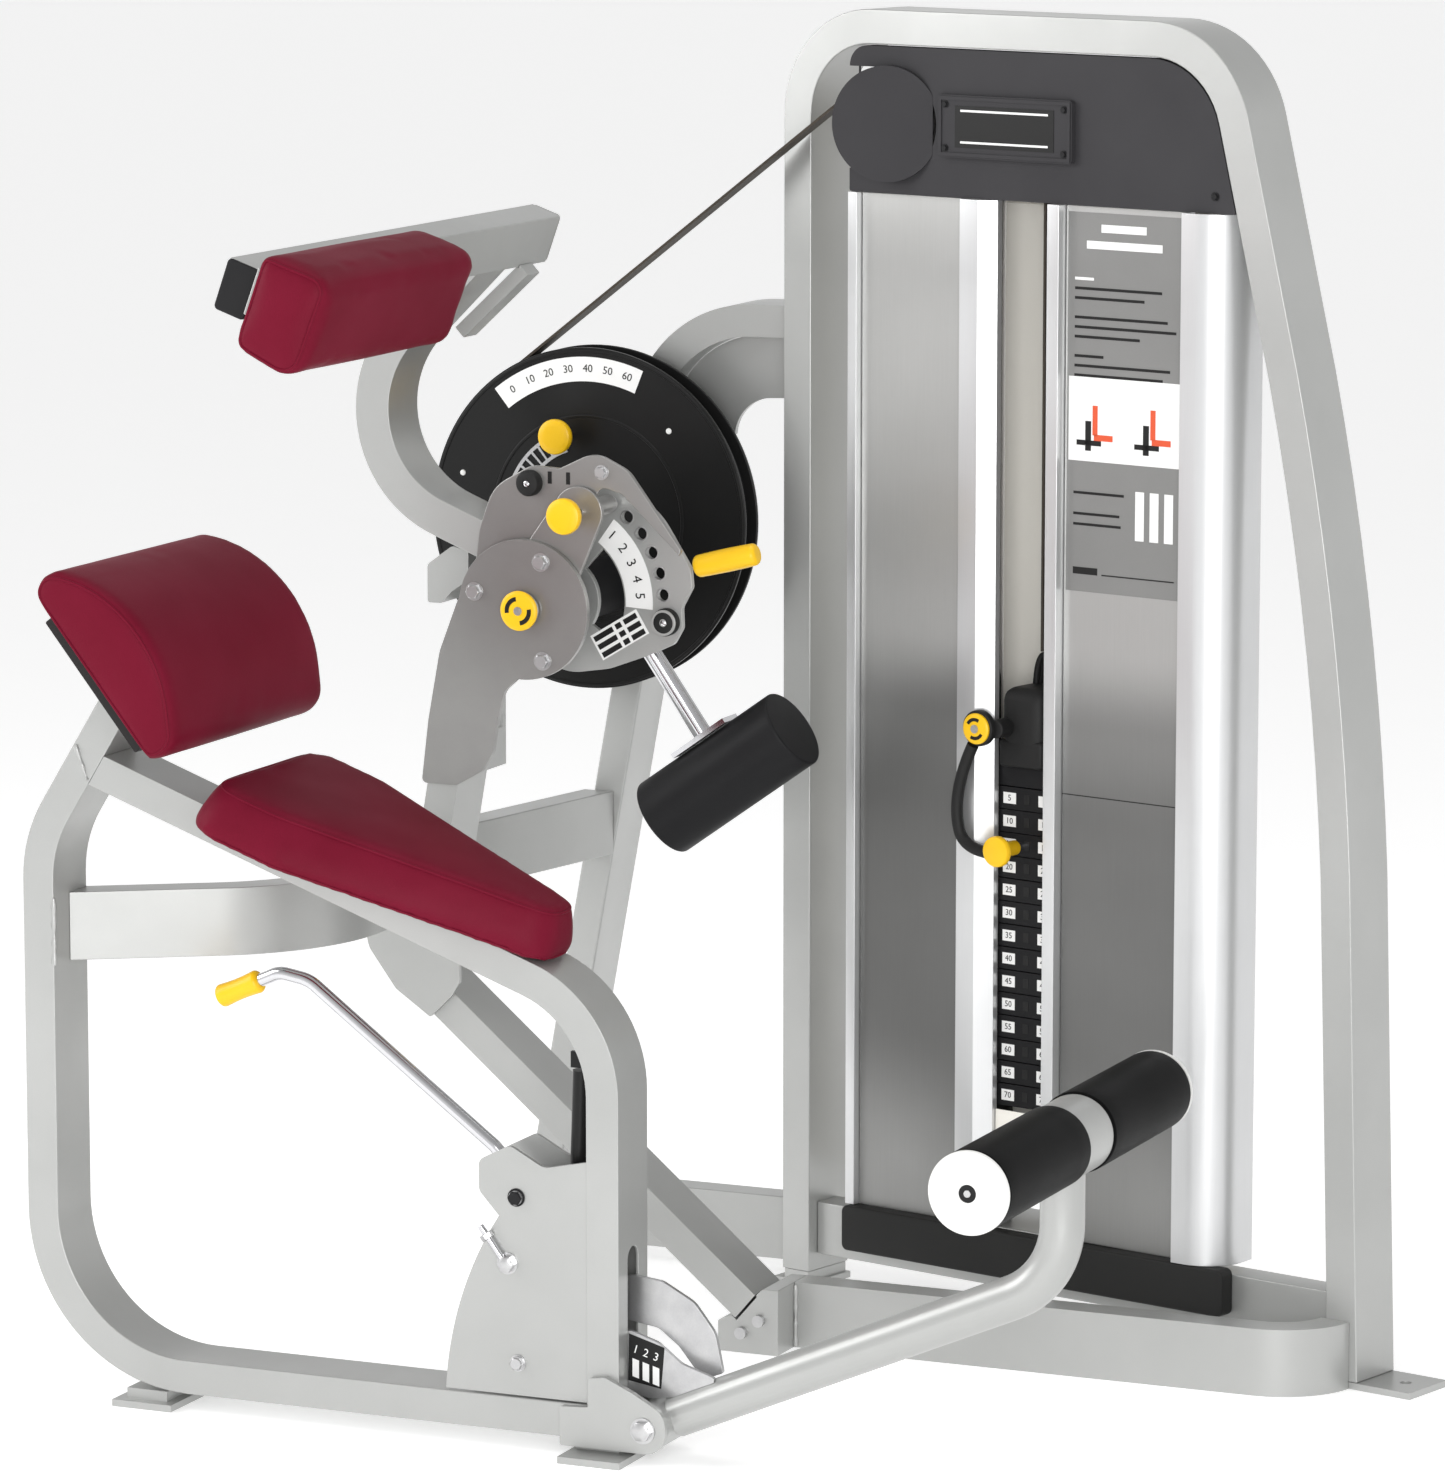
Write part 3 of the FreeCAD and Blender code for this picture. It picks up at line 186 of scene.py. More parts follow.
MATERIALS = {
    "frame_steel": finish("silver powder coat", (0.47, 0.475, 0.465), (0.41, 0.415, 0.405), (0.30, 0.40),
                          metal=0.5, coat=0.2, grain=1500, depth=0.00008),
    "dark_steel": finish("black powder coat", (0.016, 0.016, 0.017), (0.010, 0.010, 0.011), (0.4, 0.52),
                         grain=1400, shine=0.2),
    "cam_black": finish("satin black enamel", (0.012, 0.012, 0.012), (0.006, 0.006, 0.006), (0.26, 0.38),
                        coat=0.06, grain=700, depth=0.00006, shine=0.22),
    "weight_black": finish("black weight enamel", (0.014, 0.014, 0.015), (0.008, 0.008, 0.009), (0.42, 0.54),
                           grain=600, depth=0.0002, shine=0.16),
    "bright_steel": finish("chrome plate", (0.74, 0.74, 0.76), (0.66, 0.66, 0.68), (0.08, 0.16),
                           metal=1.0, grain=400, depth=0.00002, stretch=(1, 1, 0.1)),
    "zinc": finish("zinc plate", (0.62, 0.62, 0.62), (0.48, 0.48, 0.49), (0.26, 0.42),
                   metal=0.9, patch=40, grain=500, depth=0.00006),
    "profile_aluminium": finish("satin anodised aluminium", (0.70, 0.705, 0.71), (0.64, 0.645, 0.65),
                                (0.28, 0.38), metal=0.75, grain=900, depth=0.00003, stretch=(1, 1, 0.015)),
    # Its height stops paint a reflection of floor and horizon into the grey panel's colour, darker and
    # lighter by height.
    "panel_grey": finish("brushed grey panel with painted reflection", (0.50, 0.50, 0.49), (0.44, 0.44, 0.43), (0.30, 0.42),
                         metal=0.6, grain=700, depth=0.00003, stretch=(1, 1, 0.02),
                         painted_reflection_bands=((0.0, 0.8), (0.16, 0.62), (0.34, 0.35), (0.60, 0.33), (0.71, 0.50),
                                (0.81, 0.96), (1.32, 0.93))),
    "grey_cover": finish("textured grey plastic", (0.046, 0.045, 0.048), (0.036, 0.035, 0.038), (0.5, 0.62),
                         grain=1100, depth=0.00025, cells=True, shine=0.2),
    "cream_panel": finish("cream laminate", (0.96, 0.93, 0.86), (0.92, 0.89, 0.82), (0.4, 0.5), grain=800),
    "burgundy_vinyl": finish("burgundy grained vinyl", (0.172, 0.0085, 0.027), (0.138, 0.006, 0.019),
                             (0.40, 0.52), patch=9, grain=620, depth=0.00022, cells=True, shine=0.06),
    "pad_board": finish("black painted board", (0.02, 0.018, 0.018), (0.012, 0.011, 0.011), (0.55, 0.7),
                        grain=300, depth=0.0002, stretch=(1, 6, 6), shine=0.25),
    "black_rubber": finish("black rubber", (0.014, 0.014, 0.014), (0.008, 0.008, 0.008), (0.5, 0.65),
                           grain=900, depth=0.0002, shine=0.3),
    "foam_black": finish("dense black foam skin", (0.003, 0.003, 0.0032), (0.002, 0.002, 0.0021),
                         (0.40, 0.52), grain=1300, depth=0.00018, cells=True, shine=0.06),
    "cap_white": finish("white moulded plastic", (0.86, 0.86, 0.84), (0.80, 0.80, 0.78), (0.3, 0.4),
                        coat=0.2, grain=600, depth=0.00005),
    "grip_yellow": finish("yellow moulded grip", (0.95, 0.58, 0.006), (0.88, 0.50, 0.004), (0.34, 0.46),
                          coat=0.1, grain=800, depth=0.00012),
    "belt_black": finish("ribbed belt", (0.06, 0.048, 0.036), (0.03, 0.025, 0.02), (0.5, 0.65),
                         grain=800, depth=0.0003, shine=0.25),
}
PRINT = {
    "white": finish("white print", (0.88, 0.88, 0.87), (0.82, 0.82, 0.81), (0.4, 0.5), grain=900),
    "black": finish("black print", (0.010, 0.010, 0.010), (0.006, 0.006, 0.006), (0.4, 0.5), grain=900,
                    shine=0.3),
    "grey": finish("grey placard", (0.25, 0.25, 0.245), (0.21, 0.21, 0.205), (0.36, 0.46), metal=0.2,
                   grain=900, shine=0.3),
    "orange": finish("orange print", (0.72, 0.10, 0.035), (0.66, 0.08, 0.025), (0.4, 0.5), grain=900),
}
# A darker copy of the frame's silver, used for the plates at the hub.
HUB_PLATE = finish("satin silver plate", (0.35, 0.345, 0.335), (0.29, 0.285, 0.28), (0.26, 0.38), metal=0.7,
                   coat=0.15, patch=14, grain=1500, depth=0.00006)
KICK_PLATE = finish("charcoal textured plastic", (0.025, 0.025, 0.024), (0.019, 0.019, 0.0185), (0.5, 0.62),
                    grain=1100, depth=0.00025, cells=True, shine=0.2)
OWN_FINISH = {"hub_side_plate": HUB_PLATE, "arm_plate": HUB_PLATE, "range_lever": HUB_PLATE,
              "kick_panel": KICK_PLATE, "arm_hub": MATERIALS["dark_steel"]}


def dress_frame():
    """Every carried CAD node takes the finish of its material slot."""
    slots = {entry["node"]: entry["material_slot"] for entry in frame["record"]["subparts"]}
    for name, obj in frame["nodes"].items():
        if not obj.material_slots:
            obj.data.materials.append(None)
        for slot in obj.material_slots:
            slot.material = MATERIALS[slots[name]]


# ---------------------------------------------------------------- mesh helpers

def piece(name, mesh_or_bm, body, slot, material=None, smooth=True):
    """A finished object in the row frame that rides on a body."""
    if isinstance(mesh_or_bm, bmesh.types.BMesh):
        mesh = bpy.data.meshes.new(name)
        bmesh.ops.recalc_face_normals(mesh_or_bm, faces=mesh_or_bm.faces)
        mesh_or_bm.to_mesh(mesh)
        mesh_or_bm.free()
    else:
        mesh = mesh_or_bm
    obj = bpy.data.objects.new(name, mesh)
    bpy.context.scene.collection.objects.link(obj)
    mesh.materials.clear()
    mesh.materials.append(material or MATERIALS[slot])
    if smooth:
        mesh.shade_smooth()
        mesh.set_sharp_from_angle(angle=math.radians(38))
    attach(obj, body)
    return obj


def basis(axis):
    """Two directions square to an axis."""
    axis = axis.normalized()
    side = axis.cross(Z if abs(axis.z) < 0.9 else X).normalized()
    return side, axis.cross(side).normalized()


def loft(bm, rings, closed_ends=(True, True)):
    """Quads between rings with the same count, closed by a face at either end."""
    rows = [[bm.verts.new(point) for point in ring] for ring in rings]
    count = len(rows[0])
    for low, high in zip(rows, rows[1:]):
        for i in range(count):
            j = (i + 1) % count
            bm.faces.new((low[i], low[j], high[j], high[i]))
    if closed_ends[0]:
        bm.faces.new(rows[0][::-1])
    if closed_ends[1]:
        bm.faces.new(rows[-1])
    return rows


def lathe(name, base, axis, profile, body, slot, count=64, hoop=False):
    """Profile of (radius, height) in millimetres turned about an axis that starts at base.

    A hoop has an open middle."""
    side, other = basis(axis)
    axis = axis.normalized()
    rings = []
    for radius, height in profile:
        ring = []
        for k in range(count):
            turn = 2 * math.pi * k / count
            ring.append(base + axis * height / 1000
                        + (side * math.cos(turn) + other * math.sin(turn)) * max(radius, 0.01) / 1000)
        rings.append(ring)
    bm = bmesh.new()
    if hoop:
        loft(bm, [*rings, rings[0]], (False, False))
        bmesh.ops.remove_doubles(bm, verts=bm.verts, dist=0.00001)
    else:
        loft(bm, rings)
    return piece(name, bm, body, slot)


def eased(radius, length, ease, waist=0.0):
    """Lathe profile of a plain cylinder with rounded rims and, if asked, a slight waist."""
    steps = 6
    rim = [(radius - ease + ease * math.sin(math.pi / 2 * k / steps),
            ease - ease * math.cos(math.pi / 2 * k / steps)) for k in range(steps + 1)]
    middle = [(radius - waist * math.sin(math.pi * k / 8), ease + (length - 2 * ease) * k / 8)
              for k in range(1, 8)]
    return rim + middle + [(r, length - h) for r, h in reversed(rim)]


def hex_bolt(name, base, axis, across, height, body, slot="zinc"):
    """Hexagon head with a chamfered top on a round washer."""
    side, other = basis(axis)
    axis = axis.normalized()

    def ring(radius, level, count):
        points = []
        for k in range(24):
            turn = 2 * math.pi * k / 24
            reach = radius
            if count == 6:
                reach = radius * math.cos(math.pi / 6) / math.cos((turn % (math.pi / 3)) - math.pi / 6)
            points.append(base + axis * level / 1000
                          + (side * math.cos(turn) + other * math.sin(turn)) * reach / 1000)
        return points
    corner = across / 2 / math.cos(math.pi / 6)
    bm = bmesh.new()
    loft(bm, [ring(across * 0.72, 0, 24), ring(across * 0.72, 1.2, 24)])
    loft(bm, [ring(corner, 1.2, 6), ring(corner, height - 1, 6), ring(across * 0.46, height, 24)])
    return piece(name, bm, body, slot)


def slab(bm, corners, normal, thick):
    """Flat piece of print: a face and its edge, standing thick millimetres off a surface."""
    low = list(corners)
    high = [point + normal * thick / 1000 for point in corners]
    loft(bm, [low, high])


def ring_sector(bm, centre, inner, outer, start, end, level, thick=0.3, steps=24):
    """Part of a flat ring that faces the near side; centre is (x, z) and level is y, in millimetres."""
    for k in range(steps):
        a = start + (end - start) * k / steps
        b = start + (end - start) * (k + 1) / steps
        corners = [polar(centre, r, angle) for r, angle in ((inner, a), (outer, a), (outer, b), (inner, b))]
        slab(bm, [at(x, level, z) for x, z in corners], NEAR, thick)


def lettering(text, size, place):
    """Mesh of a few digits, size in millimetres, placed by a matrix whose x and y lie in the surface."""
    curve = bpy.data.curves.new("digits", "FONT")
    curve.body = text
    curve.size = size / 1000
    curve.extrude = 0.00012
    curve.resolution_u = 3
    curve.align_x, curve.align_y = "CENTER", "CENTER"
    holder = bpy.data.objects.new("digits", curve)
    bpy.context.scene.collection.objects.link(holder)
    mesh = bpy.data.meshes.new_from_object(holder)
    bpy.data.objects.remove(holder)
    bpy.data.curves.remove(curve)
    mesh.transform(place)
    return mesh


def facing(origin, right, up):
    """Matrix that puts lettering at origin, reading along right."""
    normal = right.cross(up)
    place = Matrix((right, up, normal)).transposed().to_4x4()
    place.translation = origin
    return place


def number_piece(name, entries, body, slot, material):
    """One piece from several (text, size, matrix) entries."""
    bm = bmesh.new()
    for text, size, place in entries:
        mesh = lettering(text, size, place)
        bm.from_mesh(mesh)
        bpy.data.meshes.remove(mesh)
    return piece(name, bm, body, slot, material, smooth=False)


def tube(name, points, radius, body, slot, closed=False, order=4):
    """Round bead or cord along points, as a mesh."""
    curve = bpy.data.curves.new(name, "CURVE")
    curve.dimensions = "3D"
    curve.bevel_depth = radius / 1000
    curve.bevel_resolution = 3
    curve.use_fill_caps = not closed
    spline = curve.splines.new("NURBS")
    spline.points.add(len(points) - 1)
    for target, point in zip(spline.points, points):
        target.co = (*point, 1)
    spline.use_cyclic_u = closed
    spline.order_u = order
    spline.use_endpoint_u = not closed
    holder = bpy.data.objects.new(name, curve)
    bpy.context.scene.collection.objects.link(holder)
    mesh = bpy.data.meshes.new_from_object(holder)
    bpy.data.objects.remove(holder)
    bpy.data.curves.remove(curve)
    return piece(name, mesh, body, slot)


def rounded(node, body, slot, radius, material=None):
    """The node's own shape with softened edges, made from a copy of its mesh; it stands for the CAD node."""
    mesh = frame["nodes"][node].data.copy()
    mesh.transform(frame["nodes"][node].matrix_world)
    bm = bmesh.new()
    bm.from_mesh(mesh)
    bpy.data.meshes.remove(mesh)
    bmesh.ops.remove_doubles(bm, verts=bm.verts, dist=0.00002)
    bmesh.ops.dissolve_limit(bm, angle_limit=math.radians(0.6), verts=bm.verts, edges=bm.edges,
                             delimit={"NORMAL"})
    obj = piece(f"{node}_soft_edges", bm, body, slot, material)
    bevel = obj.modifiers.new("soft edges", "BEVEL")
    bevel.width = radius / 1000
    bevel.segments = 3
    bevel.limit_method = "ANGLE"
    bevel.angle_limit = math.radians(35)
    bevel.harden_normals = True
    bpy.context.view_layer.objects.active = obj
    bpy.ops.object.modifier_apply(modifier=bevel.name)
    obj.data.shade_smooth()
    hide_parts(node)
    return obj


EDGE_RADII = {
    5.0: ("rear_upright", "seat_rail", "rear_cross_tube", "near_post", "strut", "base_ring", "far_post",
          "rear_floor_rail", "cross_beam", "tower_brace", "tower_frame", "arm_cross_tube", "arm_tube",
          "foot_arm"),
    3.0: ("header_cover", "kick_panel", "rear_cover", "front_profiles", "tower_sill"),
    1.2: ("pivot_bracket", "lever_housing", "hub_side_plate", "arm_plate", "range_plate", "cam_disc",
          "range_lever", "foot_quadrant", "floor_feet", "arm_hub", "counterweight_rod", "lifted_plates",
          "resting_plates", "front_panels", "lumbar_board"),
}


def soften_edges():
    """Every tube and plate gets the rounded edges that rolled and ground metal has."""
    entries = {entry["node"]: entry for entry in frame["record"]["subparts"]}
    for radius, nodes in EDGE_RADII.items():
        for node in nodes:
            rounded(node, frame["nodes"][node]["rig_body"], entries[node]["material_slot"], radius,
                    OWN_FINISH.get(node))


# ---------------------------------------------------------------- upholstery

def round_outline(points, radii, corner_steps=8, side_steps=8):
    """Closed outline with rounded corners; outlines with as many corners get as many points."""
    count = len(points)
    sampled = []
    ends = []
    for i, radius in enumerate(radii):
        before, corner, after = (Vector(points[(i + d) % count]) for d in (-1, 0, 1))
        u, v = (corner - before).normalized(), (after - corner).normalized()
        turn = math.atan2(u.x * v.y - u.y * v.x, u.dot(v))
        reach = radius * math.tan(abs(turn) / 2)
        start = corner - u * reach
        side = math.copysign(1, turn)
        centre = start + Vector((-u.y, u.x)) * side * radius
        arc = []
        for k in range(corner_steps + 1):
            part = turn * k / corner_steps
            spoke = start - centre
            arc.append(centre + Vector((spoke.x * math.cos(part) - spoke.y * math.sin(part),
                                        spoke.x * math.sin(part) + spoke.y * math.cos(part))))
        ends.append(arc)
    for i, arc in enumerate(ends):
        sampled += arc
        following = ends[(i + 1) % count][0]
        sampled += [arc[-1].lerp(following, k / side_steps) for k in range(1, side_steps)]
    return sampled


def arc_through(a, b, c, steps):
    """Points of the circular arc from a to c by way of b, without the last."""
    a, b, c = Vector(a), Vector(b), Vector(c)
    d = 2 * (a.x * (b.y - c.y) + b.x * (c.y - a.y) + c.x * (a.y - b.y))
    aa, bb, cc = a.length_squared, b.length_squared, c.length_squared
    centre = Vector(((aa * (b.y - c.y) + bb * (c.y - a.y) + cc * (a.y - b.y)) / d,
                     (aa * (c.x - b.x) + bb * (a.x - c.x) + cc * (b.x - a.x)) / d))
    start = a - centre
    cross = (b - a).x * (c - b).y - (b - a).y * (c - b).x
    sweep = math.atan2(start.x * (c - centre).y - start.y * (c - centre).x, start.dot(c - centre))
    if cross > 0 > sweep:
        sweep += 2 * math.pi
    if cross < 0 < sweep:
        sweep -= 2 * math.pi
    return [centre + Vector((start.x * math.cos(sweep * k / steps) - start.y * math.sin(sweep * k / steps),
                             start.x * math.sin(sweep * k / steps) + start.y * math.cos(sweep * k / steps)))
            for k in range(steps)]


def inset(outline, amount):
    """The outline moved inwards along its normals; it runs counter-clockwise."""
    area = sum(a.x * b.y - b.x * a.y for a, b in zip(outline, outline[1:] + outline[:1]))
    side = 1 if area > 0 else -1
    moved = []
    for i, point in enumerate(outline):
        along = (outline[(i + 1) % len(outline)] - outline[i - 1]).normalized()
        moved.append(point + Vector((-along.y, along.x)) * side * amount)
    return moved


def crown(ring, bulge, out):
    """Rings that close a cap with a soft crown, bulge in millimetres."""
    centre = sum(ring, Vector()) / len(ring)
    steps = 7
    rings = []
    for k in range(1, steps):
        scale = 1 - k / steps
        rise = out * bulge / 1000 * (1 - scale ** 2)
        rings.append([centre + (point - centre) * scale + rise for point in ring])
    return rings


def swell(obj):
    """Blow the pad up a little with Blender's cloth, never moving a point by more than cap metres."""
    cap, voxel, frames = 0.0018, 0.006, 20
    bpy.context.view_layer.objects.active = obj
    for other in bpy.context.selected_objects:
        other.select_set(False)
    obj.select_set(True)
    remesh = obj.modifiers.new("even mesh", "REMESH")
    remesh.mode = "VOXEL"
    remesh.voxel_size = voxel
    bpy.ops.object.modifier_apply(modifier=remesh.name)
    rest = [vertex.co.copy() for vertex in obj.data.vertices]
    cloth = obj.modifiers.new("air", "CLOTH")
    cloth.settings.use_pressure = True
    cloth.settings.uniform_pressure_force = 4
    cloth.settings.quality = 5
    cloth.settings.effector_weights.gravity = 0
    cloth.point_cache.frame_start = 1
    cloth.point_cache.frame_end = frames
    for number in range(1, frames + 1):
        bpy.context.scene.frame_set(number)
    shaped = obj.evaluated_get(bpy.context.evaluated_depsgraph_get())
    moved = [vertex.co.copy() for vertex in shaped.data.vertices]
    obj.modifiers.remove(cloth)
    for vertex, was, now in zip(obj.data.vertices, rest, moved):
        step = now - was
        vertex.co = was + (step if step.length < cap else step.normalized() * cap)
    bpy.context.scene.frame_set(1)


def upholster(name, rings, out_low, out_high, bulge, node, body):
    """Closed pad from rings, swollen and smoothed; it stands for the plain CAD pad."""
    bm = bmesh.new()
    whole = [*reversed(crown(rings[0], bulge[0], out_low)), *rings, *crown(rings[-1], bulge[1], out_high)]
    loft(bm, whole)
    pad = piece(name, bm, body, "burgundy_vinyl")
    swell(pad)
    even = pad.modifiers.new("even out", "SMOOTH")
    even.factor = 0.5
    even.iterations = 5
    soft = pad.modifiers.new("soft", "SUBSURF")
    soft.levels = soft.render_levels = 1
    bpy.context.view_layer.objects.active = pad
    for modifier in (even, soft):
        bpy.ops.object.modifier_apply(modifier=modifier.name)
    pad.data.shade_smooth()
    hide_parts(node)
    return pad


def welt(name, pad, path, body, radius=1.7):
    """Piped seam laid on the finished pad along a rough path."""
    tree = BVHTree.FromObject(pad, bpy.context.evaluated_depsgraph_get())
    lift = 0.0003
    laid = []
    for point in path:
        place, normal = tree.find_nearest(point)[:2]
        laid.append(place + normal * lift)
    return tube(name, laid, radius, body, "burgundy_vinyl", closed=True)


def seat_cushion():
    """Seat pad: rounded at the back, narrow at the front, with its sides drawn in to the top seam."""
    slope = math.radians(20.3)
    start = at(-255, 0, 709.1)
    along, up = Vector((math.cos(slope), 0, -math.sin(slope))), Vector((math.sin(slope), 0, math.cos(slope)))
    base_plan = [(90, 148), (210, 152), (420, 74), (506, 46), (506, -46), (420, -74), (210, -152), (90, -148)]
    base_radii = [40, 90, 60, 42, 42, 60, 90, 40]
    top_plan = [(100, 130), (190, 128), (400, 62), (494, 34), (494, -34), (400, -62), (190, -128),
                (100, -130)]
    top_radii = [34, 70, 60, 32, 32, 60, 70, 34]
    base = round_outline(base_plan, base_radii)
    top = round_outline(top_plan, top_radii)

    def ring(share, t, shrink):
        flat = inset([a.lerp(b, share) for a, b in zip(base, top)], shrink)
        return [start + along * p.x / 1000 + Y * p.y / 1000 + up * t / 1000 for p in flat]
    rings = [ring(0, 3, 6), ring(0, 7, 3), ring(0.05, 16, 2), ring(0.30, 30, 2), ring(0.72, 46, 2),
             ring(0.95, 55, 3), ring(1, 59, 5)]
    pad = upholster("seat_cushion", rings, -up, up, (0, 4), "seat_pad", "frame")
    welt("seat_top_welt", pad, ring(0.96, 58, 1)[::3], "frame")
    welt("seat_base_welt", pad, ring(0, 6, 2)[::3], "frame", radius=1.3)


def end_to_end(name, outline, half, node, body):
    """Pad of one section along y with a flat, piped panel at each end."""
    def ring(y, shrink):
        return [at(p.x, y, p.y) for p in inset(outline, shrink)]
    full, seam_in = 3.0, 7
    levels = [(-half + 3, 11), (-half + 4, 7), (-half + 8, full + 1), (-half + 16, full),
              (-half * 0.5, full - 0.7), (0, full - 1), (half * 0.5, full - 0.7), (half - 16, full),
              (half - 8, full + 1), (half - 4, 7), (half - 3, 11)]
    rings = [ring(y, shrink) for y, shrink in levels]
    pad = upholster(name, rings, -Y, Y, (3, 3), node, body)
    for tag, y in (("near", -half + 3), ("far", half - 3)):
        welt(f"{name}_{tag}_welt", pad, ring(y, seam_in)[::2], body)


def lumbar_cushion():
    """Half-round roll behind the small of the back."""
    outline = [*arc_through((-326, 922), (-321, 947), (-292, 957), 8),
               *arc_through((-292, 957), (-205, 913), (-154, 798), 26),
               *arc_through((-154, 798), (-160, 764), (-192, 753), 10)]
    back_start, back_end = Vector((-192, 753)), Vector((-326, 922))
    outline += [back_start.lerp(back_end, k / 20) for k in range(20)]
    end_to_end("lumbar_cushion", outline, 185, "lumbar_pad", "frame")


def back_cushion():
    """Swinging pad of four rounded corners on the arm's cross tube."""
    corners = [(-43, 1313), (45, 1283), (-2, 1164), (-83, 1205)]
    outline = round_outline(corners, [14, 24, 28, 18])
    end_to_end("back_cushion", outline, 188, "back_pad", "arm")


# ---------------------------------------------------------------- foot end

def foot_roller():
    """Two foam sleeves with dished white end caps and a bolt in each."""
    lengths = {"near": (-271.5, -35.5), "far": (35.5, 271.5)}
    for tag, (low, high) in lengths.items():
        foam = lathe(f"foam_{tag}", ROLLER + Y * low / 1000, Y, eased(44, high - low, 4), "foot_roller",
                     "foam_black")
        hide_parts("foot_rollers")
    rim = [(0, 1.5), (9, 1.5), (10, 0.5), (12, 0.3), (34, 0), (41, 0.6), (43.4, 2.4), (44, 4.5), (44, 8)]
    cup = [(5, 0.4), (8.5, 0), (9.5, 0.8), (9.5, 2)]
    for tag, out in (("near", NEAR), ("far", Y)):
        cap = lathe(f"roller_cap_{tag}", ROLLER + out * 0.280, -out, rim, "foot_roller", "cap_white")
        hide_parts("roller_shaft")
        lathe(f"roller_cup_{tag}", ROLLER + out * 0.2797, -out, cup, "foot_roller", "dark_steel", count=32)
        hex_bolt(f"roller_bolt_{tag}", ROLLER + out * 0.2773, out, 8, 2.6, "foot_roller")


def grips():
    """Moulded yellow grips of the release lever and the arm handle."""
    low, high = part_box("lever_grip")
    middle = (low + high) / 2
    axis = at(-196, 0, 465.1) - at(-146, 0, 487.3)
    axis.normalize()
    grip = lathe("lever_grip_moulded", middle - axis * 0.0275, axis, eased(13, 55, 5, waist=1.2),
                 "release_lever", "grip_yellow", count=40)
    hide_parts("lever_grip")
    tilt = math.radians(14)
    axis = Vector((math.cos(tilt), 0, math.sin(tilt)))
    low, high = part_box("arm_handle")
    middle = (low + high) / 2
    grip = lathe("arm_handle_moulded", middle - axis * 0.040, axis, eased(13, 80, 6, waist=-0.6),
                 "arm", "grip_yellow", count=40)
    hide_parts("arm_handle")


def knob(name, node, body, centre_x, centre_z, front, shaft_to):
    """Pull knob: a flat-faced yellow head on a bright plunger; front and shaft_to are y in millimetres."""
    head = [(0, 0.0), (12, 0.1), (17.5, 0.6), (20, 1.8), (20.9, 4), (21, 7), (20.4, 11), (17.5, 14),
            (13, 17), (10, 21)]
    top = lathe(name, at(centre_x, front, centre_z), Y, head, body, "grip_yellow", count=48)
    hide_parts(node)
    shaft_from = front + 20
    lathe(f"{name}_plunger", at(centre_x, shaft_from, centre_z), Y, eased(5, shaft_to - shaft_from, 0.8),
          body, "bright_steel", count=32)


# ---------------------------------------------------------------- hub, arm and cam details

def slotted_cap(name, centre, across, body, normal, spin):
    """Yellow cap with two curved slots, drawn as black arcs that paint the shade inside them, and a small
    screw.
    """
    side = X if normal == NEAR else TOWER.to_3x3() @ X
    lathe(name, centre, normal, [(across, 0), (across, 2.5), (across - 1.5, 4), (across - 4, 4.4), (0, 4.4)],
          body, "grip_yellow", count=48)
    bm = bmesh.new()
    face = centre + normal * 4.4 / 1000
    # Painted shade: flat black arcs stand for the shade inside the cap's two slots.
    for half in (0, 180):
        for k in range(14):
            quad = []
            for r, part in ((0.50, k), (0.72, k), (0.72, k + 1), (0.50, k + 1)):
                turn = math.radians(spin + half + part * 6.5)
                quad.append(face + (side * math.cos(turn) + Z * math.sin(turn)) * across * r / 1000)
            slab(bm, quad, normal, 0.3)
    piece(f"{name}_slots", bm, body, "dark_steel", PRINT["black"])
    hex_bolt(f"{name}_screw", face, normal, 7, 2.4, body)


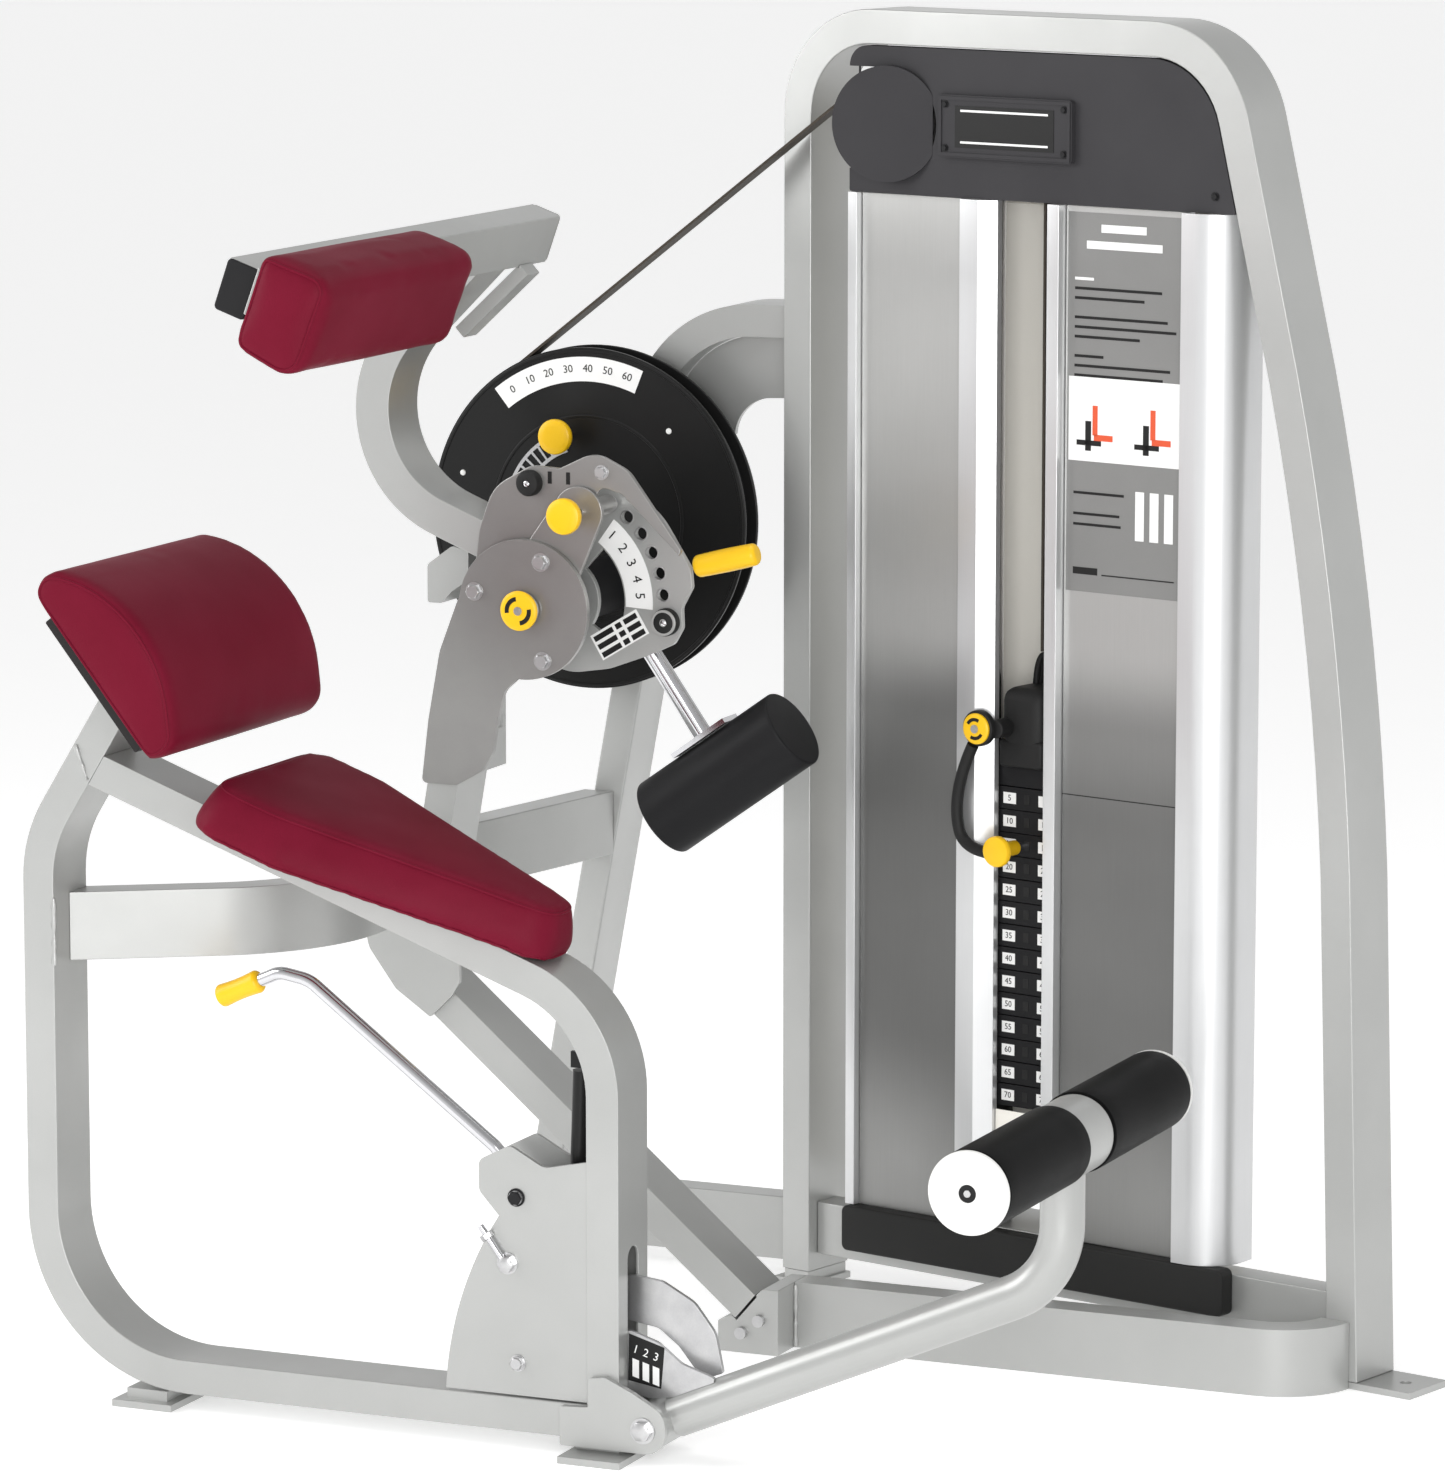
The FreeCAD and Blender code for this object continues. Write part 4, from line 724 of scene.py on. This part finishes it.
def hub_details():
    """Hub cap, plate bolts, rubber stops, and the range plate's scale, label and hole rims."""
    slotted_cap("hub_cap", at(HUB_CENTRE[0], 435.5, HUB_CENTRE[1]), 23, "frame", NEAR, 100)
    for k, (x, z) in enumerate(((-95, 866), (-11, 904), (-9, 790))):
        hex_bolt(f"side_plate_bolt_{k}", at(x, 444, z), NEAR, 15, 7.5, "frame")
    for tag, x, y, z, radius in (("upper", -30, 459, 993, 15), ("lower", 103, 543.3, 829, 16)):
        rubber = [(radius, 0), (radius, 8), (radius - 2, 11.6), (radius - 5, 12.6), (4.6, 12.8), (4.2, 11.0),
                  (0, 11.0)]
        screw = [(3.6, 0), (3.4, 1.4), (1.8, 2.0), (0, 2.1)]
        lathe(f"bumper_{tag}", at(x, y, z), NEAR, rubber, "arm", "black_rubber", count=40)
        lathe(f"bumper_{tag}_screw", at(x, y - 11.0, z), NEAR, screw, "arm", "bright_steel", count=24)
    hex_bolt("arm_plate_bolt", at(59, 459, 1009), NEAR, 12, 6, "arm")
    marks = bmesh.new()
    for x in (-6, 17):
        corners = [(x - 2.5, 993), (x + 2.5, 993), (x + 2.5, 1007), (x - 2.5, 1007)]
        slab(marks, [at(a, 459, b) for a, b in corners], NEAR, 0.3)
    piece("arm_plate_marks", marks, "arm", "dark_steel", PRINT["black"], smooth=False)
    range_face = 543.2
    bm = bmesh.new()
    ring_sector(bm, HUB_CENTRE, 85, 119, -3, 54, range_face)
    piece("range_scale", bm, "arm", "cap_white", PRINT["white"], smooth=False)
    entries = []
    for k in range(5):
        angle = 49 - 11 * k
        x, z = polar(HUB_CENTRE, 103, angle)
        turn = math.radians(angle)
        right, up = Vector((math.sin(turn), 0, -math.cos(turn))), Vector((math.cos(turn), 0, math.sin(turn)))
        entries.append((str(k + 1), 17, facing(at(x, range_face - 0.45, z), right, up)))
    number_piece("range_numbers", entries, "arm", "dark_steel", PRINT["black"])
    label_grid("arm_label", at(43, range_face, 810.5), math.radians(31), 68, 32, "arm")
    for k in range(6):
        x, z = polar(HUB_CENTRE, 132, 60 - 11 * k)
        rim = [(8.6, -0.2), (8.2, 0.5), (7.4, 0.5), (7.0, -0.2)]
        lathe(f"lock_hole_rim_{k}", at(x, range_face, z), NEAR, rim, "arm", "zinc", count=28, hoop=True)


def label_grid(name, centre, tilt, wide, tall, body):
    """White label with dark rules and blocks and no words."""
    right = Vector((math.cos(tilt), 0, math.sin(tilt)))
    up = Vector((-math.sin(tilt), 0, math.cos(tilt)))

    def block(bm, left, low, width, height, lift, thick):
        corners = [(left, low), (left + width, low), (left + width, low + height), (left, low + height)]
        face = centre + NEAR * lift / 1000
        slab(bm, [face + right * a / 1000 + up * b / 1000 for a, b in corners], NEAR, thick)
    sheet = bmesh.new()
    block(sheet, -wide / 2, -tall / 2, wide, tall, 0, 0.3)
    piece(name, sheet, body, "cap_white", PRINT["white"], smooth=False)
    ink = bmesh.new()
    for row in range(3):
        for left, share in ((0.04, 0.40), (0.50, 0.12), (0.68, 0.27)):
            block(ink, wide * (left - 0.5), tall * (row / 3.1 - 0.44), wide * share, tall * 0.20, 0.3, 0.2)
    piece(f"{name}_rules", ink, body, "dark_steel", PRINT["black"], smooth=False)


def cam_details():
    """The cam's scale, rivets, start ladder and raised ridges."""
    face = 733
    bm = bmesh.new()
    ring_sector(bm, CAM_CENTRE, 163, 192, 68, 129, face)
    piece("cam_scale", bm, "arm", "cap_white", PRINT["white"], smooth=False)
    entries = []
    for k in range(7):
        angle = 123 - 8.3 * k
        x, z = polar(CAM_CENTRE, 178, angle)
        turn = math.radians(angle - 90)
        right, up = Vector((math.cos(turn), 0, math.sin(turn))), Vector((-math.sin(turn), 0, math.cos(turn)))
        entries.append((str(10 * k), 13, facing(at(x, face - 0.45, z), right, up)))
    number_piece("cam_numbers", entries, "arm", "dark_steel", PRINT["black"])
    rivet = [(3.6, 0), (3.2, 1.0), (1.6, 1.6), (0, 1.7)]
    for tag, radius, angle in (("rear", 170, 164), ("front", 151, 46)):
        x, z = polar(CAM_CENTRE, radius, angle)
        lathe(f"cam_rivet_{tag}", at(x, face, z), NEAR, rivet, "arm", "cap_white", count=24)
    bm = bmesh.new()
    for inner, outer in ((82, 86), (104, 108)):
        ring_sector(bm, CAM_CENTRE, inner, outer, 108, 158, face, thick=1.6, steps=20)
    for k in range(9):
        ring_sector(bm, CAM_CENTRE, 86, 104, 109 + 6 * k, 110.6 + 6 * k, face, thick=1.6, steps=1)
    piece("start_ladder", bm, "arm", "zinc", smooth=False)
    middle = at(CAM_CENTRE[0], face, CAM_CENTRE[1])
    for tag, radius in (("inner", 122), ("outer", 199)):
        ridge = [(radius + 2.5, -0.4), (radius + 1.6, 0.9), (radius, 1.3), (radius - 1.6, 0.9),
                 (radius - 2.5, -0.4)]
        lathe(f"cam_ridge_{tag}", middle, NEAR, ridge, "arm", "cam_black", count=128, hoop=True)


def counterweight_cover():
    """Black drum with rounded rims on the end of its rod."""
    low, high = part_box("counterweight")
    tilt = math.radians(35.3)
    axis = Vector((math.cos(tilt), 0, math.sin(tilt)))
    drum = lathe("counterweight_drum", (low + high) / 2 - axis * 0.100, axis, eased(47.5, 200, 3), "arm",
                 "weight_black", count=96)
    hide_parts("counterweight")


def tube_caps():
    """Moulded plugs in the open ends of the pad's cross tube."""
    lean = math.radians(19.5)
    across = Vector((math.cos(lean), 0, -math.sin(lean)))
    tall = Vector((math.sin(lean), 0, math.cos(lean)))
    flat = round_outline([(-19, -29), (19, -29), (19, 29), (-19, 29)], [5] * 4, 5, 3)
    for tag, y, out, slot in (("near", -140, NEAR, "dark_steel"), ("far", 618, Y, "frame_steel")):
        centre = at(-92.5, y, 1264)
        rings = []
        for shrink, level in ((0, 0), (0, 2.0), (1.2, 3.0)):
            rings.append([centre + across * p.x / 1000 + tall * p.y / 1000 + out * level / 1000
                          for p in inset(flat, shrink)])
        bm = bmesh.new()
        loft(bm, rings)
        piece(f"cross_tube_plug_{tag}", bm, "arm", slot)


# ---------------------------------------------------------------- tower details

def tower_patch(bm, left, low, width, height, v, thick=0.3):
    corners = [(left, low), (left + width, low), (left + width, low + height), (left, low + height)]
    slab(bm, [on_tower(u, v, z) for u, z in corners], TOWER_FRONT, thick)


def weight_labels():
    """White number labels on the front of every weight plate, and black patches that paint the shade inside
    each pin hole.
    """
    face, floor, pitch, resting, plates = 22, 256, 27, 11, 14
    right = TOWER.to_3x3() @ X
    for tag, first, last, body in (("resting", 0, resting, "frame"), ("lifted", resting, plates, "stack")):
        paper, ink, hole_shade = bmesh.new(), [], bmesh.new()
        for k in range(first, last):
            z = floor + pitch * k + 13
            for u in (316, 366):
                tower_patch(paper, u - 9, z - 6.5, 18, 13, face)
                ink.append((str(5 * (plates - k)), 10, facing(on_tower(u, face - 0.5, z), right, Z)))
            # Painted shade: a black patch stands for the shade inside the pin hole.
            tower_patch(hole_shade, 336.5, z - 5.5, 8, 11, face)
        piece(f"{tag}_labels", paper, body, "cap_white", PRINT["white"], smooth=False)
        number_piece(f"{tag}_numbers", ink, body, "dark_steel", PRINT["black"])
        piece(f"{tag}_pin_hole_shade", hole_shade, body, "dark_steel", PRINT["black"], smooth=False)


def block(name, u, v, z, body, slot, ease, segments=4):
    """Box with rounded edges on the tower; u, v and z are (from, to) in millimetres."""
    bm = bmesh.new()
    plan = [(u[0], v[0]), (u[1], v[0]), (u[1], v[1]), (u[0], v[1])]
    loft(bm, [[on_tower(a, b, level) for a, b in plan] for level in z])
    bmesh.ops.bevel(bm, geom=bm.edges[:], offset=ease / 1000, segments=segments, profile=0.5, affect="EDGES")
    return piece(name, bm, body, slot)


def stack_head():
    """Top plate with its moulded hood, the arm of the hand button, the selector rod and the strap loop."""
    plate = block("head_slab", (230, 440), (22, 114), (634, 660), "stack", "weight_black", 1.5, 2)
    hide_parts("head_plate")
    block("head_hood", (304.4, 366), (14.4, 100), (655, 750), "stack", "black_rubber", 16, 6)
    block("head_collar", (304.2, 366.4), (14.2, 101), (657, 690), "stack", "black_rubber", 5)
    back = -TOWER_FRONT
    lathe("button_arm", on_tower(315.5, -8, 704), back, eased(11, 32, 2), "stack", "black_rubber", count=32)
    lathe("button_body", on_tower(296, -16, 704), back, eased(21, 10, 2), "stack", "black_rubber", count=48)
    lathe("selector_rod", on_tower(335, 68, 300), Z, eased(8, 334, 1), "stack", "zinc", count=32)
    for k, v in enumerate((64, 72)):
        arch = [on_tower(u, v, z) for u, z in ((322, 742), (322, 772), (335, 797), (348, 772), (348, 742))]
        tube(f"strap_loop_{k}", arch, 4, "stack", "black_rubber")


def placard():
    """Instruction card with plain blocks and rules instead of words and figures."""
    v = 10
    card = bmesh.new()
    tower_patch(card, 402, 872, 163, 433, v, 0.5)
    piece("placard", card, "frame", "panel_grey", PRINT["grey"], smooth=False)
    light, dark, warm = bmesh.new(), bmesh.new(), bmesh.new()
    front = v - 0.5
    tower_patch(light, 448, 1283, 62, 9, front)
    tower_patch(light, 428, 1264, 104, 9, front)
    tower_patch(light, 404.5, 1022, 158, 96, front)
    for row, width in enumerate((26, 120, 96, 0, 128, 140, 90, 0, 40, 132, 122)):
        if width:
            tower_patch(dark if row else light, 412, 1228 - row * 11, width, 3.2, front)
    for left in (428, 508):
        tower_patch(dark, left, 1034, 8, 34, front - 0.3)
        tower_patch(dark, left - 12, 1040, 34, 6, front - 0.3)
        tower_patch(warm, left + 10, 1052, 7, 34, front - 0.3)
        tower_patch(warm, left + 12, 1046, 26, 7, front - 0.3)
    for row, width in enumerate((70, 0, 64, 66)):
        if width:
            tower_patch(dark, 412, 984 - row * 12, width, 3, front)
    for k in range(3):
        tower_patch(light, 498 + 20 * k, 936, 12, 56, front)
    tower_patch(dark, 412, 892, 34, 8, front)
    tower_patch(dark, 452, 892, 100, 1.5, front)
    piece("placard_blocks", light, "frame", "cap_white", PRINT["white"], smooth=False)
    piece("placard_rules", dark, "frame", "dark_steel", PRINT["black"], smooth=False)
    piece("placard_accents", warm, "frame", "grip_yellow", PRINT["orange"], smooth=False)


def belt_run():
    """The belt's run to the stack, with softened edges on a mesh of its own; the belt gets shorter towards
    its pulley as the stack goes up.
    """
    run = rounded("belt_drop", "frame", "belt_black", 0.5)
    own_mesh(run)


def header_details():
    """Blank nameplate face with a raised rim, two light rules and four screws."""
    face = -5
    rim = bmesh.new()
    bars = ((229, 1361, 185, 4), (229, 1425, 185, 4), (229, 1365, 4, 60), (410, 1365, 4, 60))
    for left, low, wide, tall in bars:
        tower_patch(rim, left, low, wide, tall, face, 1.6)
    piece("nameplate_rim", rim, "frame", "grey_cover", smooth=False)
    field = bmesh.new()
    tower_patch(field, 252, 1371, 139, 48, face, 0.6)
    piece("nameplate_field", field, "frame", "dark_steel", PRINT["black"], smooth=False)
    rules = bmesh.new()
    for z in (1376, 1412):
        tower_patch(rules, 260, z, 123, 2.4, face - 0.6)
    piece("nameplate_rules", rules, "frame", "cap_white", PRINT["white"], smooth=False)
    for k, (u, z) in enumerate(((238, 1370), (238, 1420), (405, 1370), (405, 1420))):
        hex_bolt(f"nameplate_screw_{k}", on_tower(u, face, z), TOWER_FRONT, 6, 3, "frame", slot="dark_steel")
    hex_bolt("header_screw", on_tower(608, 2, 1332), TOWER_FRONT, 7, 3, "frame", slot="dark_steel")
    seam = bmesh.new()
    tower_patch(seam, 399, 635, 169, 1.2, 10, 0.2)
    piece("panel_seam", seam, "frame", "dark_steel", PRINT["black"], smooth=False)


TETHER = ((289, 684), (274, 655), (264, 604), (276, 562), (311, 560))  # along the tower's front, and up


def stack_details():
    """Yellow faces of the hand button and the selector pin, and the tether between them."""
    slotted_cap("selector_cap_face", on_tower(296, -16, 704), 18, "stack", TOWER_FRONT, 60)
    base = on_tower(335, -34, 566)
    head = [(0, 0), (14, 0.2), (17, 1.2), (18, 3), (18, 8), (16.5, 10.5), (10, 12), (8.6, 14), (8.6, 40),
            (7.6, 41.5)]
    knob_piece = lathe("selector_knob", base, -TOWER_FRONT, head, "selector_pin", "grip_yellow", count=48)
    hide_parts("selector_pin")
    lathe("selector_shaft", on_tower(335, 2, 566), -TOWER_FRONT, eased(5, 73, 1), "selector_pin",
          "bright_steel", count=32)
    route = [on_tower(u, -14, z) for u, z in TETHER]
    tether = bpy.data.curves.new("tether_cord", "CURVE")
    tether.dimensions = "3D"
    tether.bevel_depth = 0.007
    tether.bevel_resolution = 6
    tether.resolution_u = 12
    tether.use_fill_caps = True
    spline = tether.splines.new("NURBS")
    spline.points.add(len(route) - 1)
    for target, point in zip(spline.points, route):
        target.co = (*point, 1)
    spline.order_u = 3
    spline.use_endpoint_u = True
    tether.materials.append(MATERIALS["black_rubber"])
    cord = bpy.data.objects.new("tether_cord", tether)
    bpy.context.scene.collection.objects.link(cord)
    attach(cord, "stack")
    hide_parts("pin_tether")


# ---------------------------------------------------------------- seat frame details

def pivot_details():
    """Bolt heads on the ends of the three cross pins, and the stop screw of the release lever."""
    pins = (("foot_pivot", 335, 38.6, 46.7, 20, "zinc"), ("lever_pivot", 181, 280, 36, 14, "dark_steel"),
            ("lever_stop", 182, 96, 36, 13, "zinc"))
    for tag, x, z, out, across, slot in pins:
        for side, end in ((-1, "near"), (1, "far")):
            hex_bolt(f"{tag}_bolt_{end}", at(x, side * (out + 0.2), z), Y * side, across, 7, "frame", slot)
    hex_bolt("adjuster_head", at(170, -36, 206), NEAR, 17, 9, "frame")
    screw = [at(140, -41, 246), at(168, -41, 209)]
    along = screw[1] - screw[0]
    lathe("adjuster_screw", screw[0], along, eased(3.4, 46, 0.8), "frame", "bright_steel", count=24)
    lathe("adjuster_nut", at(146, -41, 238), along, eased(7.5, 7, 1), "frame", "zinc", count=6)
    face = -13
    sheet = bmesh.new()
    slab(sheet, [at(x, face, z) for x, z in ((303, 84), (342, 78), (346, 124), (304, 136))], NEAR, 0.3)
    piece("foot_scale", sheet, "foot_arm", "dark_steel", PRINT["black"], smooth=False)
    right = Vector((math.cos(-0.28), 0, math.sin(-0.28)))
    up = Vector((math.sin(0.28), 0, math.cos(0.28)))
    entries, windows = [], bmesh.new()
    for k in range(3):
        place = at(312 + 12 * k, face - 0.3, 98 - 3.2 * k)
        corners = ((-4, -10), (4, -10), (4, 10), (-4, 10))
        slab(windows, [place + right * a / 1000 + Z * b / 1000 for a, b in corners], NEAR, 0.2)
        entries.append((str(k + 1), 13, facing(place + Z * 0.021 + NEAR * 0.0002, right, up)))
    piece("foot_scale_windows", windows, "foot_arm", "cap_white", PRINT["white"], smooth=False)
    number_piece("foot_scale_numbers", entries, "foot_arm", "cap_white", PRINT["white"])


def weld(name, start, end):
    """Rippled weld bead along a straight seam of the frame."""
    bead = tube(name, [start, end], 2.6, "frame", "frame_steel", order=2)
    bm = bmesh.new()
    bm.from_mesh(bead.data)
    bmesh.ops.subdivide_edges(bm, edges=bm.edges, cuts=3)
    run = end - start
    for vertex in bm.verts:
        share = (vertex.co - start).length
        ripple = 0.0007 * math.sin(share / 0.0032) + 0.0004 * math.sin(share / 0.0071)
        part = (vertex.co - start).dot(run) / run.length_squared
        offset = vertex.co - (start + run * max(0, min(1, part)))
        if offset.length > 0.0005:
            vertex.co += offset.normalized() * ripple
    bm.to_mesh(bead.data)
    bm.free()


def welds():
    """Beads where the tubes meet, on the sides that show."""
    seams = {
        "cross_tube": ((-382.6, -38, 493), (-382.6, -38, 568)),
        "ring_to_bracket": ((283, 500, 2), (283, 500, 74)),
        "rail_to_upright": ((-352, -38.6, 742), (-338, -38.6, 704)),
        "far_post": ((-200, 799.5, 78), (-163, 799.5, 78)),
    }
    for tag, ends in seams.items():
        weld(f"weld_{tag}", at(*ends[0]), at(*ends[1]))


# ---------------------------------------------------------------- floor, light and camera

def studio():
    """Pale glowing floor, soft world light that is brightest at the horizon, and three large lamps."""
    low, high = cad_box
    middle = (low + high) / 2
    bpy.ops.mesh.primitive_plane_add(size=400, location=(middle.x, middle.y, 0))
    floor = bpy.context.object
    floor.name = "studio_floor"
    pale = finish("pale floor", (0.90, 0.90, 0.90), (0.89, 0.89, 0.89), (0.7, 0.8), grain=40, depth=0.00001)
    glow = pale.node_tree.nodes["Principled BSDF"].inputs
    glow["Emission Color"].default_value = (1, 1, 1, 1)
    glow["Emission Strength"].default_value = 0.42
    floor.data.materials.append(pale)
    scene = bpy.context.scene
    scene.view_settings.view_transform = "Standard"
    scene.view_settings.look = "None"
    world = bpy.data.worlds.new("studio")
    scene.world = world
    world.use_nodes = True
    tree = world.node_tree
    direction = add(tree, "ShaderNodeTexCoord").outputs["Generated"]
    height = add(tree, "ShaderNodeSeparateXYZ", {0: direction}).outputs["Z"]
    sky = add(tree, "ShaderNodeMapRange", {"Value": height, "From Min": 0.02, "From Max": 0.7, "To Min": 0.95,
                                           "To Max": 0.42}).outputs[0]
    tree.links.new(sky, tree.nodes["Background"].inputs["Strength"])
    tree.nodes["Background"].inputs["Color"].default_value = (1, 1, 1, 1)
    lamps = (("front", (1.7, -4.1, 0.5), 2.0, 90), ("left", (-3.4, -1.6, 1.6), 2.4, 70),
             ("top", (0.4, 0.2, 3.6), 2.6, 40))
    for name, place, size, power in lamps:
        light = bpy.data.lights.new(name, "AREA")
        light.shape = "SQUARE"
        light.size = size
        light.energy = power
        lamp = bpy.data.objects.new(name, light)
        lamp.location = middle + Vector(place)
        lamp.rotation_euler = (middle - lamp.location).to_track_quat("-Z", "Y").to_euler()
        scene.collection.objects.link(lamp)


def camera():
    """Long lens from the user's front right, as in the reference photograph."""
    azimuth, elevation = math.radians(23.5), math.radians(9.1)
    back = Vector((math.sin(azimuth) * math.cos(elevation), -math.cos(azimuth) * math.cos(elevation),
                   math.sin(elevation)))
    lens = bpy.data.cameras.new("photo_view")
    lens.lens = 168.06
    lens.sensor_width = 36
    lens.clip_end = 400
    eye = bpy.data.objects.new("photo_view", lens)
    eye.location = at(3300, -6650, 1951.5)
    eye.rotation_euler = back.to_track_quat("Z", "Y").to_euler()
    bpy.context.scene.collection.objects.link(eye)
    bpy.context.scene.camera = eye


dress_frame()
soften_edges()
seat_cushion()
lumbar_cushion()
back_cushion()
foot_roller()
grips()
knob("range_knob", "range_pin", "range_pin", *polar(HUB_CENTRE, 132, 60), 408, 543)
knob("start_knob", "start_pin", "start_pin", *polar(CAM_CENTRE, 103, 104), 689, 741)
hub_details()
cam_details()
counterweight_cover()
tube_caps()
weight_labels()
stack_head()
placard()
header_details()
belt_run()
stack_details()
pivot_details()
welds()
studio()
camera()
